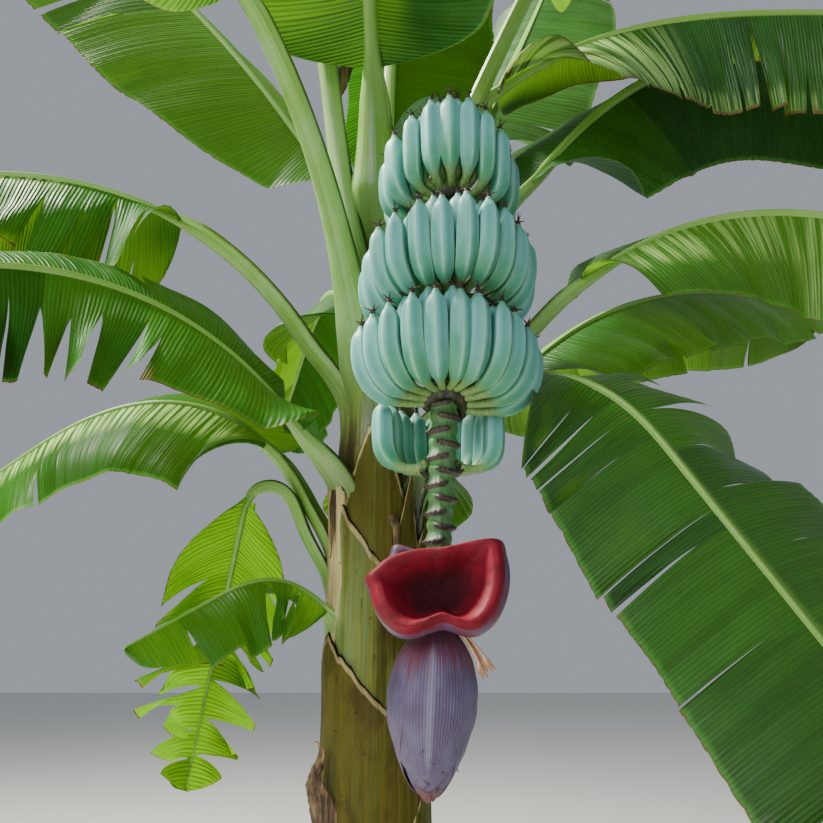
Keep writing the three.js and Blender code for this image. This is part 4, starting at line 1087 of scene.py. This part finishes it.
def limb(leaf, layer):
    """Sheath, stalk and rib of one leaf in one skin, from the ground to the tip of its blade."""
    line = LINES[leaf["name"]]
    leaves_at = emergence(line)
    top = line.at(np.array(leaves_at / line.run))[0]
    low, middle, high = LIMB_RINGS
    wrapped = leaves_at - (1 - np.linspace(0, 1, low) ** 0.75) * (top[2] - WRAP["foot"])
    stalk = leaves_at + np.linspace(0.02, 1, middle) * (leaf["stalk"] - leaves_at)
    rib = leaf["stalk"] + np.linspace(0.012, 1, high) * leaf["blade"]
    runs = np.concatenate([wrapped, stalk, rib])
    rings = len(runs)

    def place(ring, angle):
        run = runs[ring]
        t = run / line.run
        at, forward, sideways, up = line.at(t)
        q = (run - leaf["stalk"]) / leaf["blade"]
        onto = eased(q, -0.05, 0.04)
        share_left = rib_share(np.clip(q, 0, 1))
        spread = STALK["spread"] * np.exp(-np.maximum(run - leaf["sheath"], 0) / STALK["spread_run"])
        slim = blended(1, leaf["slim"], eased(run, leaves_at, leaves_at + 120))
        thin = share_left * leaf["rib"]
        stalk_depth = STALK["half_depth"] + spread * STALK["spread_depth"]
        wide = slim * blended(STALK["half_width"] + spread, RIB["half_width"] * thin, onto)
        deep = slim * blended(stalk_depth, RIB["depth"] * thin, onto)
        edge = blended(STALK["half_depth"] * STALK["flat_top"] + 3, 1.5, onto)
        hollow = blended(STALK["half_depth"] * 1.1 + 0.35 * spread, -RIB["crown"] * share_left, onto)
        cos, sin = np.cos(angle), np.sin(angle)
        upper = edge - (edge + hollow - 8 * (1 - onto)) * sin ** 2
        lower = edge * (1 - np.abs(sin)) - deep * np.abs(sin) ** 0.9
        over = np.where(sin >= 0, upper, lower)
        stalked = at + sideways * (wide * cos)[:, None] + up * over[:, None]
        past = np.maximum(leaves_at - run, 0)
        z = np.maximum(top[2] - past + 0.9 * np.maximum(run - leaves_at, 0), 0)
        half = np.radians(WRAP["top_angle"] + WRAP["more"] * (1 - np.exp(-past / WRAP["opening"])))
        turned = math.radians(leaf["azimuth"]) + half * cos
        thick = WRAP["thickness"] * np.abs(sin) ** 0.5
        wander = WRAP["wander"] * ripple(turned * 7 + z / 300, leaf["name"])
        wrap = round_axis(stem_radius(z) + layer + np.where(sin >= 0, -thick, 0) + wander, turned, z)
        out = eased(run - leaves_at, *WRAP["away"])[:, None]
        return wrap * (1 - out) + stalked * out

    def marks(ring, angle):
        run = runs[ring]
        return {
            "out": (run - leaves_at) * MM,
            "rib": eased(run, leaf["stalk"] - 120, leaf["stalk"] + 80) * share(np.sin(angle), -1.6, 0.2),
            "margin": np.abs(np.cos(angle)) ** 14 * (1 - eased(run, leaf["stalk"] - 60, leaf["stalk"])),
            # Darker underside of the stalk: partly its own darker keel, partly painted shade.
            "keel": leaf["keel"] * np.exp(-(((angle - 1.5 * math.pi) / 0.55) ** 2)),
        }

    return bent_tube(sizes().limb_sides, rings, place, marks)


# Old sheaths whose leaves have gone: the azimuth and height of the tip of each, how far its edges fall away
# to the sides, its half angle, how far it lies over the stem and leans out at its tip, and how dead it is.
# Some are fresh or straw-coloured, and one ends at a bottom of its own above the ground.
OLD_SHEATHS = [
    dict(azimuth=270, top=1975, fall=190, half=40, power=1.1, layer=7.5, lean=4, dead=0.5),
    dict(azimuth=312, top=1872, fall=290, half=30, power=0.9, layer=8.2, lean=12, dead=0.3),
    dict(azimuth=346, top=1846, fall=260, half=30, power=1.0, layer=8.5, lean=24, dead=0.4),
    dict(azimuth=222, top=1796, fall=190, half=80, power=0.95, layer=9.2, lean=4, dead=0.0, fresh=0.7),
    dict(azimuth=209, top=1872, fall=70, half=22, power=1.6, layer=12.4, lean=7, dead=0.0, straw=1.0,
         bottom=1462),
    dict(azimuth=213, top=1530, fall=190, half=98, power=0.95, layer=11.2, lean=5, dead=0.8),
    dict(azimuth=20, top=1390, fall=260, half=84, power=1.2, layer=8.4, lean=5, dead=0.2),
    dict(azimuth=76, top=1700, fall=220, half=66, power=1.1, layer=7.8, lean=6, dead=0.5),
    dict(azimuth=132, top=1480, fall=240, half=84, power=1.1, layer=9.0, lean=5, dead=0.3),
    dict(azimuth=268, top=955, fall=260, half=80, power=1.0, layer=12.2, lean=4, dead=0.4),
    dict(azimuth=60, top=820, fall=280, half=88, power=1.0, layer=11.6, lean=5, dead=0.5),
    dict(azimuth=160, top=1010, fall=260, half=84, power=1.0, layer=12, lean=5, dead=0.2),
]
SHEATH_FOOT = 6


def old_sheath(sheath):
    """A thin shell round part of the stem, with a pointed dry upper edge."""
    bm, u, v = grid(*OLD_SHEATH_FACES)
    aside = np.abs(u)
    seed = f"old {sheath['azimuth']} {sheath['top']}"
    jag = 7 * ripple(u * 14, seed) + 3 * ripple(u * 60, seed + "b")
    top = sheath["top"] - sheath["fall"] * aside ** sheath["power"] + jag
    hangs = "bottom" in sheath
    foot = sheath["bottom"] + 90 * aside ** 1.3 if hangs else SHEATH_FOOT
    z = foot + (top - foot) * v
    narrow = 1 - 0.35 * share(v, 0.3, 0) * hangs
    turned = np.radians(sheath["azimuth"] + sheath["half"] * u * narrow + 3 * ripple(z / 140, seed + "e"))
    leans = sheath["lean"] * (1 + 0.4 * ripple(u * 9, seed + "c"))
    lifted = leans * eased(z, sheath["top"] - 170, sheath["top"])
    tuck = 7 * aside ** 8 * (1 - eased(v, 0.9, 1))
    fold = 1.6 * ripple(turned * 16 + z / 300, seed) + 0.7 * ripple(turned * 60 + z / 500, seed + "d")
    points = round_axis(stem_radius(z) + sheath["layer"] + lifted - tuck + fold, turned, z)
    edge = np.maximum(share(v, 0.982, 1), 0.25 * share(aside, 0.96, 1) * share(v, 0.35, 0.8))
    browned = np.maximum(sheath["dead"], 0.8 * share(z, sheath["top"] - 190, sheath["top"] - 20))
    straw = sheath.get("straw", 0.0)
    fresh = sheath.get("fresh", 0.0) * (1 - share(u, -0.1, 0.7)) * share(v, 0.2, 0.6)
    return laid(bm, points, margin=edge, dead=browned * (1 - straw), straw=straw, fresh=fresh)


def stem_core():
    """The inner stem that shows between the sheaths."""
    z = np.concatenate([np.linspace(0, 300, 16), np.linspace(320, STEM["throat"], 90)])

    def place(ring, angle):
        height = z[ring]
        within = 9 - 1.5 * ripple(angle * 8 + height / 400, "core")
        return round_axis(stem_radius(height) - np.where(ring == 0, 0, within), angle, height)

    return bent_tube(CORE_SIDES, len(z), place)


# Curled brown strips: where each hangs from, how long and wide it is, and how far it leans and curls. A
# strip with a negative length stands up instead, and one with a face is turned that way.
DRY_STRIPS = [
    dict(azimuth=226, face=262, z=1140, out=8, length=-190, width=66, lean=11, curl=50, side=0.1),
    dict(azimuth=214, z=1812, out=16, length=140, width=20, lean=4, curl=60, side=0.05),
    dict(azimuth=290, z=1756, out=12, length=120, width=18, lean=8, curl=120, side=0.1),
    dict(azimuth=212, face=262, z=2860, out=48, length=135, width=52, lean=2, curl=60, side=-0.1),
    dict(azimuth=30, z=1500, out=12, length=240, width=34, lean=10, curl=140, side=-0.2),
    dict(azimuth=110, z=1350, out=12, length=260, width=30, lean=8, curl=150, side=0.2),
    dict(azimuth=60, z=1690, out=12, length=180, width=30, lean=8, curl=120, side=-0.1),
    dict(azimuth=320, z=1060, out=14, length=200, width=28, lean=6, curl=130, side=0.1),
]


def dry_strip(strip):
    """A strip that hangs from its top, narrows, and curls more and more."""
    bm, u, v = grid(*STRIP_FACES)
    seed = f"strip {strip['azimuth']}"
    azimuth = math.radians(strip["azimuth"])
    outward = np.array([math.cos(azimuth), math.sin(azimuth), 0])
    face = math.radians(strip.get("face", strip["azimuth"]))
    aside = np.array([-math.sin(face), math.cos(face), 0])
    lean = math.radians(strip["lean"]) * (1 + ripple(v * 5, seed))
    drop = strip["length"] * v
    out = abs(strip["length"]) * v * np.sin(lean)
    roll = np.radians(strip["curl"]) * v * ripple(v * 4, seed + "t")
    half = strip["width"] / 2 * (1 - 0.93 * v ** 1.5) * (1 + 0.2 * ripple(v * 30, seed + "w") * v)
    gutter = 0.35 * half * (1 - u ** 2)
    across = u * half
    x = across * np.cos(roll) - gutter * np.sin(roll) + strip["side"] * drop
    y = across * np.sin(roll) + gutter * np.cos(roll)
    base = float(stem_radius(strip["z"])) + strip["out"]
    z = strip["z"] - drop
    radius = np.maximum(base + out + y, stem_radius(z) + strip["out"])
    return laid(bm, outward * radius[:, None] + aside * x[:, None] + np.array([0, 0, 1]) * z[:, None])


def finger(root, azimuth, length, bend, tone):
    """One finger, and the place and direction of its tip."""
    rings, sides = len(FINGER_ALONG) * 2 - 1, sizes().finger_sides
    ring_at = np.interp(np.arange(rings), np.arange(0, rings, 2), FINGER_ALONG)
    steps = 48
    heading = math.radians(azimuth)
    middles = (np.arange(steps) + 0.5) / steps

    def direction(t):
        slope = np.radians(blended(FINGER["droop"], FINGER["upright"], eased(t, 0, bend)))
        return direction_of(slope, heading)

    points = walked(root, direction(middles) * (length / steps))
    sideways = np.array([-math.sin(heading), math.cos(heading), 0])

    def place(ring, angle):
        t = ring_at[ring]
        up = np.cross(direction(t), sideways)
        full = np.interp(t, FINGER_ALONG, FINGER_RADII)
        body = eased(t, 0.22, 0.4) * (1 - eased(t, 0.9, 1))
        radius = full * (1 + body * (0.12 * (0.5 + 0.5 * np.cos(5 * angle + 1.2)) ** 2 - 0.055))
        out = sideways * (radius * np.cos(angle))[:, None] + up * (radius * np.sin(angle))[:, None]
        return on_line(points, t) + out

    def marks(ring, angle):
        body = eased(ring_at[ring], 0.2, 0.4) * (1 - eased(ring_at[ring], 0.88, 1))
        crest = 0.5 + 0.5 * np.cos(5 * angle + 1.2)
        # Positive on the ridges, where a highlight is painted, and negative in the valleys, where shade is
        # painted.
        ridge = body * (crest ** 12 - 0.4 * (1 - crest) ** 2)
        return {"along": ring_at[ring], "tone": tone, "ridge": ridge, "dark": 0.0}

    return bent_tube(sides, rings, place, marks), points[-1], direction(np.array(1.0))


def dried_tip(place, along, seed):
    """The withered flower at a finger's tip: a stub with a few curled spikes."""
    dice = random.Random(seed)
    bm = bmesh.new()
    bmesh.ops.create_cone(bm, cap_ends=True, segments=7, radius1=5.8, radius2=3.8, depth=10)
    for k in range(dice.randint(4, 6)):
        long = dice.uniform(11, 21)
        spike = bmesh.ops.create_cone(bm, cap_ends=True, segments=4, radius1=2.3, radius2=0.5, depth=long)
        verts = spike["verts"]
        bmesh.ops.translate(bm, verts=verts, vec=(0, 0, long / 2 - 1))
        turn = dice.uniform(15, 100)
        around = 360 * k / 5 + dice.uniform(-25, 25)
        for axis, degrees in (("X", turn), ("Z", around)):
            matrix = Matrix.Rotation(math.radians(degrees), 3, axis)
            bmesh.ops.rotate(bm, verts=verts, cent=(0, 0, 0), matrix=matrix)
        bmesh.ops.translate(bm, verts=verts, vec=(0, 0, 4))
    bmesh.ops.translate(bm, verts=bm.verts, vec=(place + along * 3).tolist())
    return mesh_of(bm)


def hand_crown(hand):
    """The cushion round the fruit stalk that carries a hand."""
    sides, rings = CROWN_RINGS

    def place(ring, angle):
        t = ring / (rings - 1)
        azimuth = np.radians(hand["front"] + hand["span"] * (t - 0.5))
        taper = blended(CROWN["end_share"], 1, np.sin(math.pi * t))
        lumps = 1 + 0.06 * np.sin(azimuth * 14)
        radius = CROWN["radius"] + CROWN["half_depth"] * taper * lumps * np.cos(angle)
        over = CROWN["half_height"] * taper * np.sin(angle)
        return hanging_at(crown_height(hand, t)) + round_axis(radius, azimuth, over)

    def marks(ring, angle):
        # How far this side faces down, where shade is painted under the crown.
        under = eased(-np.sin(angle), -0.3, 0.45)
        return {"along": 0.06, "tone": 0.3, "ridge": 0.0, "dark": under}

    return bent_tube(sides, rings, place, marks)


def hand_meshes(hand):
    """All fingers of a hand, and their dried tips."""
    dice = random.Random(hand["name"])
    rows = [
        (hand["outer"], 0, hand["length"], 1),
        (hand["inner"], FINGER["inner_lift"], hand["length"] * FINGER["inner_share"], FINGER["inner_bend"]),
    ]
    fingers, tips = [hand_crown(hand)], []
    for row, (count, lift, length, bent) in enumerate(rows):
        for k in range(count):
            t = (k + 0.5) / count
            azimuth = hand["front"] + hand["span"] * (t - 0.5) + dice.uniform(-1.6, 1.6)
            bend = bent * blended(hand["bend"], hand["bend_ends"], (2 * t - 1) ** 2)
            root = hanging_at(crown_height(hand, t) + lift)
            root = root + round_axis(FINGER["start"], math.radians(azimuth), 0)
            own = length * dice.uniform(0.965, 1.0)
            bend *= dice.uniform(0.97, 1.04)
            mesh, end, along = finger(root, azimuth, own, bend, dice.uniform(-1, 1))
            fingers.append(mesh)
            tips.append(dried_tip(end, along, f"{hand['name']} {row} {k}"))
    return fingers, tips


def fruit_arch():
    """The stretch of the fruit stalk from the throat over the arch."""
    start = np.array([0, 0, STEM["throat"] - FRUIT_STALK["root_depth"]], float)
    rise = np.array(FRUIT_STALK["rise"], float)
    end = hanging_at(FRUIT_STALK["hang_top"] - 30.0)
    over = np.array([end[0], FRUIT_STALK["y"], FRUIT_STALK["arch_top"]], float)
    sides, rings = ARCH_RINGS
    flat = np.array([end[1], -end[0], 0]) / math.hypot(end[0], end[1])

    def place(ring, angle):
        t = (ring / (rings - 1))[:, None]
        left = 1 - t
        at = start * left ** 3 + 3 * rise * t * left ** 2 + 3 * over * t ** 2 * left + end * t ** 3
        tangent = 3 * ((rise - start) * left ** 2 + 2 * (over - rise) * t * left + (end - over) * t ** 2)
        tangent /= np.linalg.norm(tangent, axis=1)[:, None]
        out = np.cross(np.broadcast_to(flat, tangent.shape), tangent)
        radius = blended(FRUIT_STALK["root_radius"], FRUIT_STALK["top_radius"], t[:, 0]) - 0.5
        return at + flat * (radius * np.cos(angle))[:, None] + out * (radius * np.sin(angle))[:, None]

    return bent_tube(sides, rings, place)


def rachis():
    """The hanging fruit stalk with its oblique flower scars, turn about on both sides."""
    sides, rings = RACHIS_RINGS
    z = np.linspace(FRUIT_STALK["hang_top"], BUD_TOP, rings)

    def scar(height, angle):
        total = np.zeros_like(height, float)
        for k in range(SCARS["count"]):
            centre = math.radians(270 + SCARS["aside"] * (1 if k % 2 else -1))
            turned = np.degrees((angle - centre + math.pi) % math.tau - math.pi)
            middle = SCARS["first"] - k * SCARS["pitch"] - SCARS["tilt"] * np.cos(np.radians(turned)) + 4
            across = 1 - share(np.abs(turned), SCARS["half_angle"] - 12, SCARS["half_angle"] + 12)
            total = np.maximum(total, across * np.exp(-((height - middle) / SCARS["half_run"]) ** 2))
        return total

    def place(ring, angle):
        height = z[ring]
        bumps = 1 + 0.3 * np.sin(angle * SCARS["bumps"]) * np.sin(height / 1.6)
        swell = 1.5 * np.sin((height - SCARS["first"]) / SCARS["pitch"] * math.tau)
        radius = fruit_stalk_radius(height) + swell + SCARS["height"] * bumps * scar(height, angle)
        radius = radius + 0.8 * ripple(angle * 6 + height / 60, "rachis")
        return hanging_at(height) + round_axis(radius, angle, 0 * height)

    return bent_tube(sides, rings, place, lambda ring, angle: {"scar": scar(z[ring], angle)})


def bud_radius(t):
    fine = np.linspace(0, 1, 101)
    rough = np.interp(fine, BUD_ALONG, BUD_RADII)
    smooth = np.convolve(np.pad(rough, 4, mode="edge"), np.ones(9) / 9, mode="valid")
    smooth = np.minimum(smooth, np.interp(fine, (0, 0.97, 1), (80, 80, 5)))
    return np.interp(t, fine, smooth)


def bud_body():
    """The inner bud, which shows between its bracts."""
    sides, rings = BUD_RINGS

    def place(ring, angle):
        t = ring / (rings - 1)
        z = BUD_TOP - BUD_LENGTH * t
        radius = bud_radius(t) - 2.5 + 0.5 * np.cos(angle * BUD_RIBS) * np.sin(math.pi * t)
        return hanging_at(z) + round_axis(radius, angle, 0 * z)

    return bent_tube(sides, rings, place, lambda ring, angle: {"along": ring / (rings - 1)})


BUD_BRACTS = [
    dict(azimuth=266, half=88, end=0.93, layer=0.0),
    dict(azimuth=20, half=84, end=0.97, layer=-0.8),
    dict(azimuth=150, half=84, end=0.95, layer=-0.4),
    dict(azimuth=304, half=60, end=0.985, layer=-1.4),
    dict(azimuth=80, half=70, end=0.9, layer=0.2),
]


def bud_bract(bract):
    """A closed bract that wraps the bud and ends in a blunt point."""
    bm, u, v = grid(*BUD_BRACT_FACES)
    aside = np.abs(u)
    stop = bract["end"] - 0.42 * aside ** 2.2
    t = 0.02 + (stop - 0.02) * v
    z = BUD_TOP - BUD_LENGTH * t
    turned = np.radians(bract["azimuth"] + bract["half"] * u)
    lifted = 1.6 * share(v, 0.8, 1) - 1.5 * share(aside, 0.85, 1)
    ribs = 0.45 * np.cos(turned * BUD_RIBS) * np.sin(math.pi * t)
    points = hanging_at(z) + round_axis(bud_radius(t) + bract["layer"] + lifted + ribs, turned, 0 * z)
    edge = np.maximum(share(v, 0.94, 1), share(aside, 0.93, 1))
    # A pale line down the middle of the bract: a painted highlight.
    spine = np.exp(-((u / 0.07) ** 2)) * share(v, 0, 0.2) * (1 - share(v, 0.8, 0.95))
    return laid(bm, points, (turned / math.tau, t), along=t, margin=edge, spine=spine)


def lifted_bract(grown=0.0, back=0.0):
    """The lifted bract: a wide cup that faces forward, with a rolled rim and two lobes over the bud."""
    bm, u, v = grid(*CUP_FACES)
    upward = 2 * v - 1
    out = np.maximum(np.abs(u), np.abs(upward))
    angle = np.arctan2(upward, u)
    degrees = np.degrees(angle)

    def hump(centre, width):
        gap = (degrees - centre + 180) % 360 - 180
        return np.exp(-((gap / width) ** 2))

    around, far = zip(*BRACT_RIM)
    rim = sum(np.interp((degrees + turn) % 360, around, far, period=360) for turn in range(-10, 11, 2)) / 11
    rim = rim + 8 * hump(172, 6) + 9 * hump(38, 7) + grown * (0.3 + hump(0, 50) + 3 * hump(134, 9))
    shares, reaches, depths = zip(*BRACT_SECTION)
    reach = rim * np.interp(out, shares, reaches)
    wrinkle = 0.35 * np.sin(angle * 26 + 3 * out) * share(out, 0.1, 0.4) * (1 - share(out, 0.5, 0.9))
    wrinkle = wrinkle + 3 * ripple(angle * 3, "bract") * out
    thicker = np.where(out > 0.62, 1 + 0.6 * hump(262, 60), 1)
    x = reach * np.cos(angle)
    y = np.interp(out, shares, depths) * thicker + wrinkle + back
    z = reach * np.sin(angle)
    tilt = math.radians(-BRACT["tilt"])
    y, z = y * math.cos(tilt) - z * math.sin(tilt), y * math.sin(tilt) + z * math.cos(tilt)
    centre = hanging_at(BRACT["centre_z"]) - np.array([0, BRACT["forward"] + BRACT["hollow"], 0])
    points = np.stack([x, y, z], -1) + centre
    # The deep mark grows toward the middle of the hollow, where shade is painted.
    return laid(bm, points, ((u + 1) / 2, v), deep=1 - share(out, 0.2, 0.56))


def male_flower(k):
    """One slim flower that hangs beside the neck of the bud."""
    dice = random.Random(f"flower {k}")
    aside = k / (FLOWER_COUNT - 1) - 0.5
    neck = hanging_at(BUD_TOP + 3.0)
    foot = neck + np.array([24, -6 + 34 * aside, 0])
    end = neck + np.array([62 + 22 * frac(k * GOLDEN), -6 + 60 * aside, -96 + dice.uniform(-4, 22)])
    sides, rings = FLOWER_RINGS

    def place(ring, angle):
        t = ring / (rings - 1)
        at = foot + (end - foot) * t[:, None]
        radius = np.interp(t, (0, 0.3, 0.75, 0.9, 1), (2.6, 3.2, 2.6, 3.8, 1.4))
        bow = 16 * np.sin(math.pi * t * 0.6)
        flare = share(t, 0.7, 1) ** 2 * 14 * aside
        return at + np.stack([bow + flare + radius * np.cos(angle), radius * np.sin(angle), 0 * t], -1)

    return bent_tube(sides, rings, place, lambda ring, angle: {"along": ring / (rings - 1)})


class PLANT_OT_stem(bpy.types.Operator):
    """Inner stem and the old sheaths round it"""

    bl_idname = "plant.stem"
    bl_label = "Stem"

    def execute(self, context):
        material = sheath_material()
        shape("stem_core", [stem_core()], [material], ["pseudostem"])
        shells = [old_sheath(sheath) for sheath in OLD_SHEATHS]
        thicken(shape("old_sheaths", shells, [material]), OLD_SHEATH_WALL)
        return {"FINISHED"}


class PLANT_OT_stalks(bpy.types.Operator):
    """Sheath, stalk and rib of every leaf"""

    bl_idname = "plant.stalks"
    bl_label = "Leaf stalks"

    def execute(self, context):
        material = limb_material()
        oldest = sorted(LEAVES, key=lambda leaf: -leaf["height"])
        for rank, leaf in enumerate(oldest):
            layer = blended(WRAP["layer_from"], WRAP["layer_to"], rank / (len(oldest) - 1))
            name = leaf["name"]
            shape("limb_" + name, [limb(leaf, layer)], [material], ["stalk_" + name])
        return {"FINISHED"}


class PLANT_OT_blades(bpy.types.Operator):
    """Lamina of every leaf, with its veins, tears and dry margins"""

    bl_idname = "plant.blades"
    bl_label = "Leaf blades"

    def execute(self, context):
        for index, leaf in enumerate(LEAVES):
            halves = [half_blade(leaf, index, side) for side in (1, -1)]
            material = leaf_material(leaf, index)
            shape("lamina_" + leaf["name"], halves, [material], blade_nodes(leaf))
        return {"FINISHED"}


class PLANT_OT_dry_strips(bpy.types.Operator):
    """Curled brown strips of dead sheath"""

    bl_idname = "plant.dry_strips"
    bl_label = "Dry strips"

    def execute(self, context):
        strips = [dry_strip(strip) for strip in DRY_STRIPS]
        thicken(shape("dry_strips", strips, [dry_material()]), STRIP_WALL)
        return {"FINISHED"}


class PLANT_OT_hands(bpy.types.Operator):
    """Hands of fruit with their crowns and dried tips"""

    bl_idname = "plant.hands"
    bl_label = "Hands of fruit"

    def execute(self, context):
        skin, tip = fruit_material(), tip_material()
        for hand in HANDS:
            fingers, tips = hand_meshes(hand)
            shape("fingers_" + hand["name"], fingers, [skin], [hand["name"]])
            shape("tips_" + hand["name"], tips, [tip], smooth=False)
        return {"FINISHED"}


class PLANT_OT_fruit_stalk(bpy.types.Operator):
    """The arch of the fruit stalk and its hanging stretch"""

    bl_idname = "plant.fruit_stalk"
    bl_label = "Fruit stalk"

    def execute(self, context):
        material = fruit_stalk_material()
        shape("arch_of_stalk", [fruit_arch()], [material], ["fruit_stalk_arch"])
        shape("hanging_stalk", [rachis()], [material], ["rachis"])
        return {"FINISHED"}


class PLANT_OT_bud(bpy.types.Operator):
    """The closed bud"""

    bl_idname = "plant.bud"
    bl_label = "Bud"

    def execute(self, context):
        material = bud_material()
        shape("bud_body", [bud_body()], [material], ["male_bud"])
        bracts = [bud_bract(bract) for bract in BUD_BRACTS]
        thicken(shape("bud_bracts", bracts, [material]), BUD_BRACT_WALL)
        return {"FINISHED"}


class PLANT_OT_bract(bpy.types.Operator):
    """The lifted bract"""

    bl_idname = "plant.bract"
    bl_label = "Lifted bract"

    def execute(self, context):
        materials = [bract_inside_material(), bract_outside_material()]
        cup = shape("open_bract", [lifted_bract()], materials, ["lifted_bract"])
        thicken(cup, BRACT["thickness"], far_material=1)
        behind = shape("bract_behind", [lifted_bract(grown=7, back=11)], materials[1:])
        thicken(behind, BRACT["thickness"])
        return {"FINISHED"}


class PLANT_OT_flowers(bpy.types.Operator):
    """Male flowers beside the bud"""

    bl_idname = "plant.flowers"
    bl_label = "Male flowers"

    def execute(self, context):
        flowers = [male_flower(k) for k in range(FLOWER_COUNT)]
        shape("flower_cluster", flowers, [flower_material()], ["male_flowers"])
        return {"FINISHED"}


# The lamps: where each stands and what it faces, in metres, how wide it is and how strong.
LAMPS = (
    dict(name="key", place=(-4.4, 0.4, 8.0), target=(0, 0, 2.3), size=1.2, power=2500,
         colour=Shade.KEY_LIGHT),
    dict(name="fill", place=(-3.4, -6.0, 4.6), target=(0, 0, 2.0), size=3.0, power=300,
         colour=Shade.FILL_LIGHT),
)
SKY_STRENGTH = 0.42


def area_light(name, place, target, size, power, colour):
    data = bpy.data.lights.new(name, "AREA")
    data.shape = "DISK"
    data.size = size
    data.energy = power
    data.color = colour
    lamp = bpy.data.objects.new(name, data)
    lamp.location = place
    lamp.rotation_euler = (Vector(target) - Vector(place)).to_track_quat("-Z", "Y").to_euler()
    bpy.context.scene.collection.objects.link(lamp)


class PLANT_OT_stage(bpy.types.Operator):
    """Floor, light and camera"""

    bl_idname = "plant.stage"
    bl_label = "Stage"

    def execute(self, context):
        bm, across, along = grid(1, 1)
        half = sizes().floor_size / 2
        mesh = laid(bm, np.stack([across * half, (2 * along - 1) * half, 0 * across], -1))
        mesh.materials.append(floor_material())
        floor = bpy.data.objects.new("floor", mesh)
        bpy.context.scene.collection.objects.link(floor)

        world = bpy.data.worlds.new("sky")
        world.use_nodes = True
        sky = world.node_tree.nodes["Background"]
        sky.inputs["Color"].default_value = (*Shade.SKY, 1)
        sky.inputs["Strength"].default_value = SKY_STRENGTH
        context.scene.world = world
        for lamp in LAMPS:
            area_light(**lamp)

        data = bpy.data.cameras.new("view")
        data.sensor_width = CAMERA["sensor"]
        data.sensor_fit = "HORIZONTAL"
        data.lens = CAMERA["sensor"] * CAMERA["focal_share"]
        data.clip_end = 200
        camera = bpy.data.objects.new("view", data)
        camera.location = CAMERA["place"]
        camera.rotation_euler = (math.radians(90 + CAMERA["pitch"]), 0, 0)
        context.scene.collection.objects.link(camera)
        context.scene.camera = camera
        return {"FINISHED"}


OPERATORS = (
    PLANT_OT_stem,
    PLANT_OT_stalks,
    PLANT_OT_blades,
    PLANT_OT_dry_strips,
    PLANT_OT_hands,
    PLANT_OT_fruit_stalk,
    PLANT_OT_bud,
    PLANT_OT_bract,
    PLANT_OT_flowers,
    PLANT_OT_stage,
)


class PLANT_PT_panel(bpy.types.Panel):
    """Lists the plant's pieces"""

    bl_label = "Banana plant"
    bl_idname = "PLANT_PT_panel"
    bl_space_type = "VIEW_3D"
    bl_region_type = "UI"
    bl_category = "Plant"

    def draw(self, context):
        for operator in OPERATORS:
            self.layout.operator(operator.bl_idname)
        for group in (context.scene.plant_sizes, context.scene.plant_colours):
            for name in group.__annotations__:
                self.layout.prop(group, name)


CLASSES = (PlantSizes, PlantColours, *OPERATORS, PLANT_PT_panel)


def register():
    for one in CLASSES:
        bpy.utils.register_class(one)
    bpy.types.Scene.plant_sizes = PointerProperty(type=PlantSizes)
    bpy.types.Scene.plant_colours = PointerProperty(type=PlantColours)


def unregister():
    del bpy.types.Scene.plant_colours
    del bpy.types.Scene.plant_sizes
    for one in reversed(CLASSES):
        bpy.utils.unregister_class(one)


def main():
    register()
    bpy.ops.plant.stem()
    bpy.ops.plant.stalks()
    bpy.ops.plant.blades()
    bpy.ops.plant.dry_strips()
    bpy.ops.plant.hands()
    bpy.ops.plant.fruit_stalk()
    bpy.ops.plant.bud()
    bpy.ops.plant.bract()
    bpy.ops.plant.flowers()
    bpy.ops.plant.stage()
    for form, *_ in FORMS.values():
        bpy.data.meshes.remove(form)


if __name__ == "__main__":
    main()
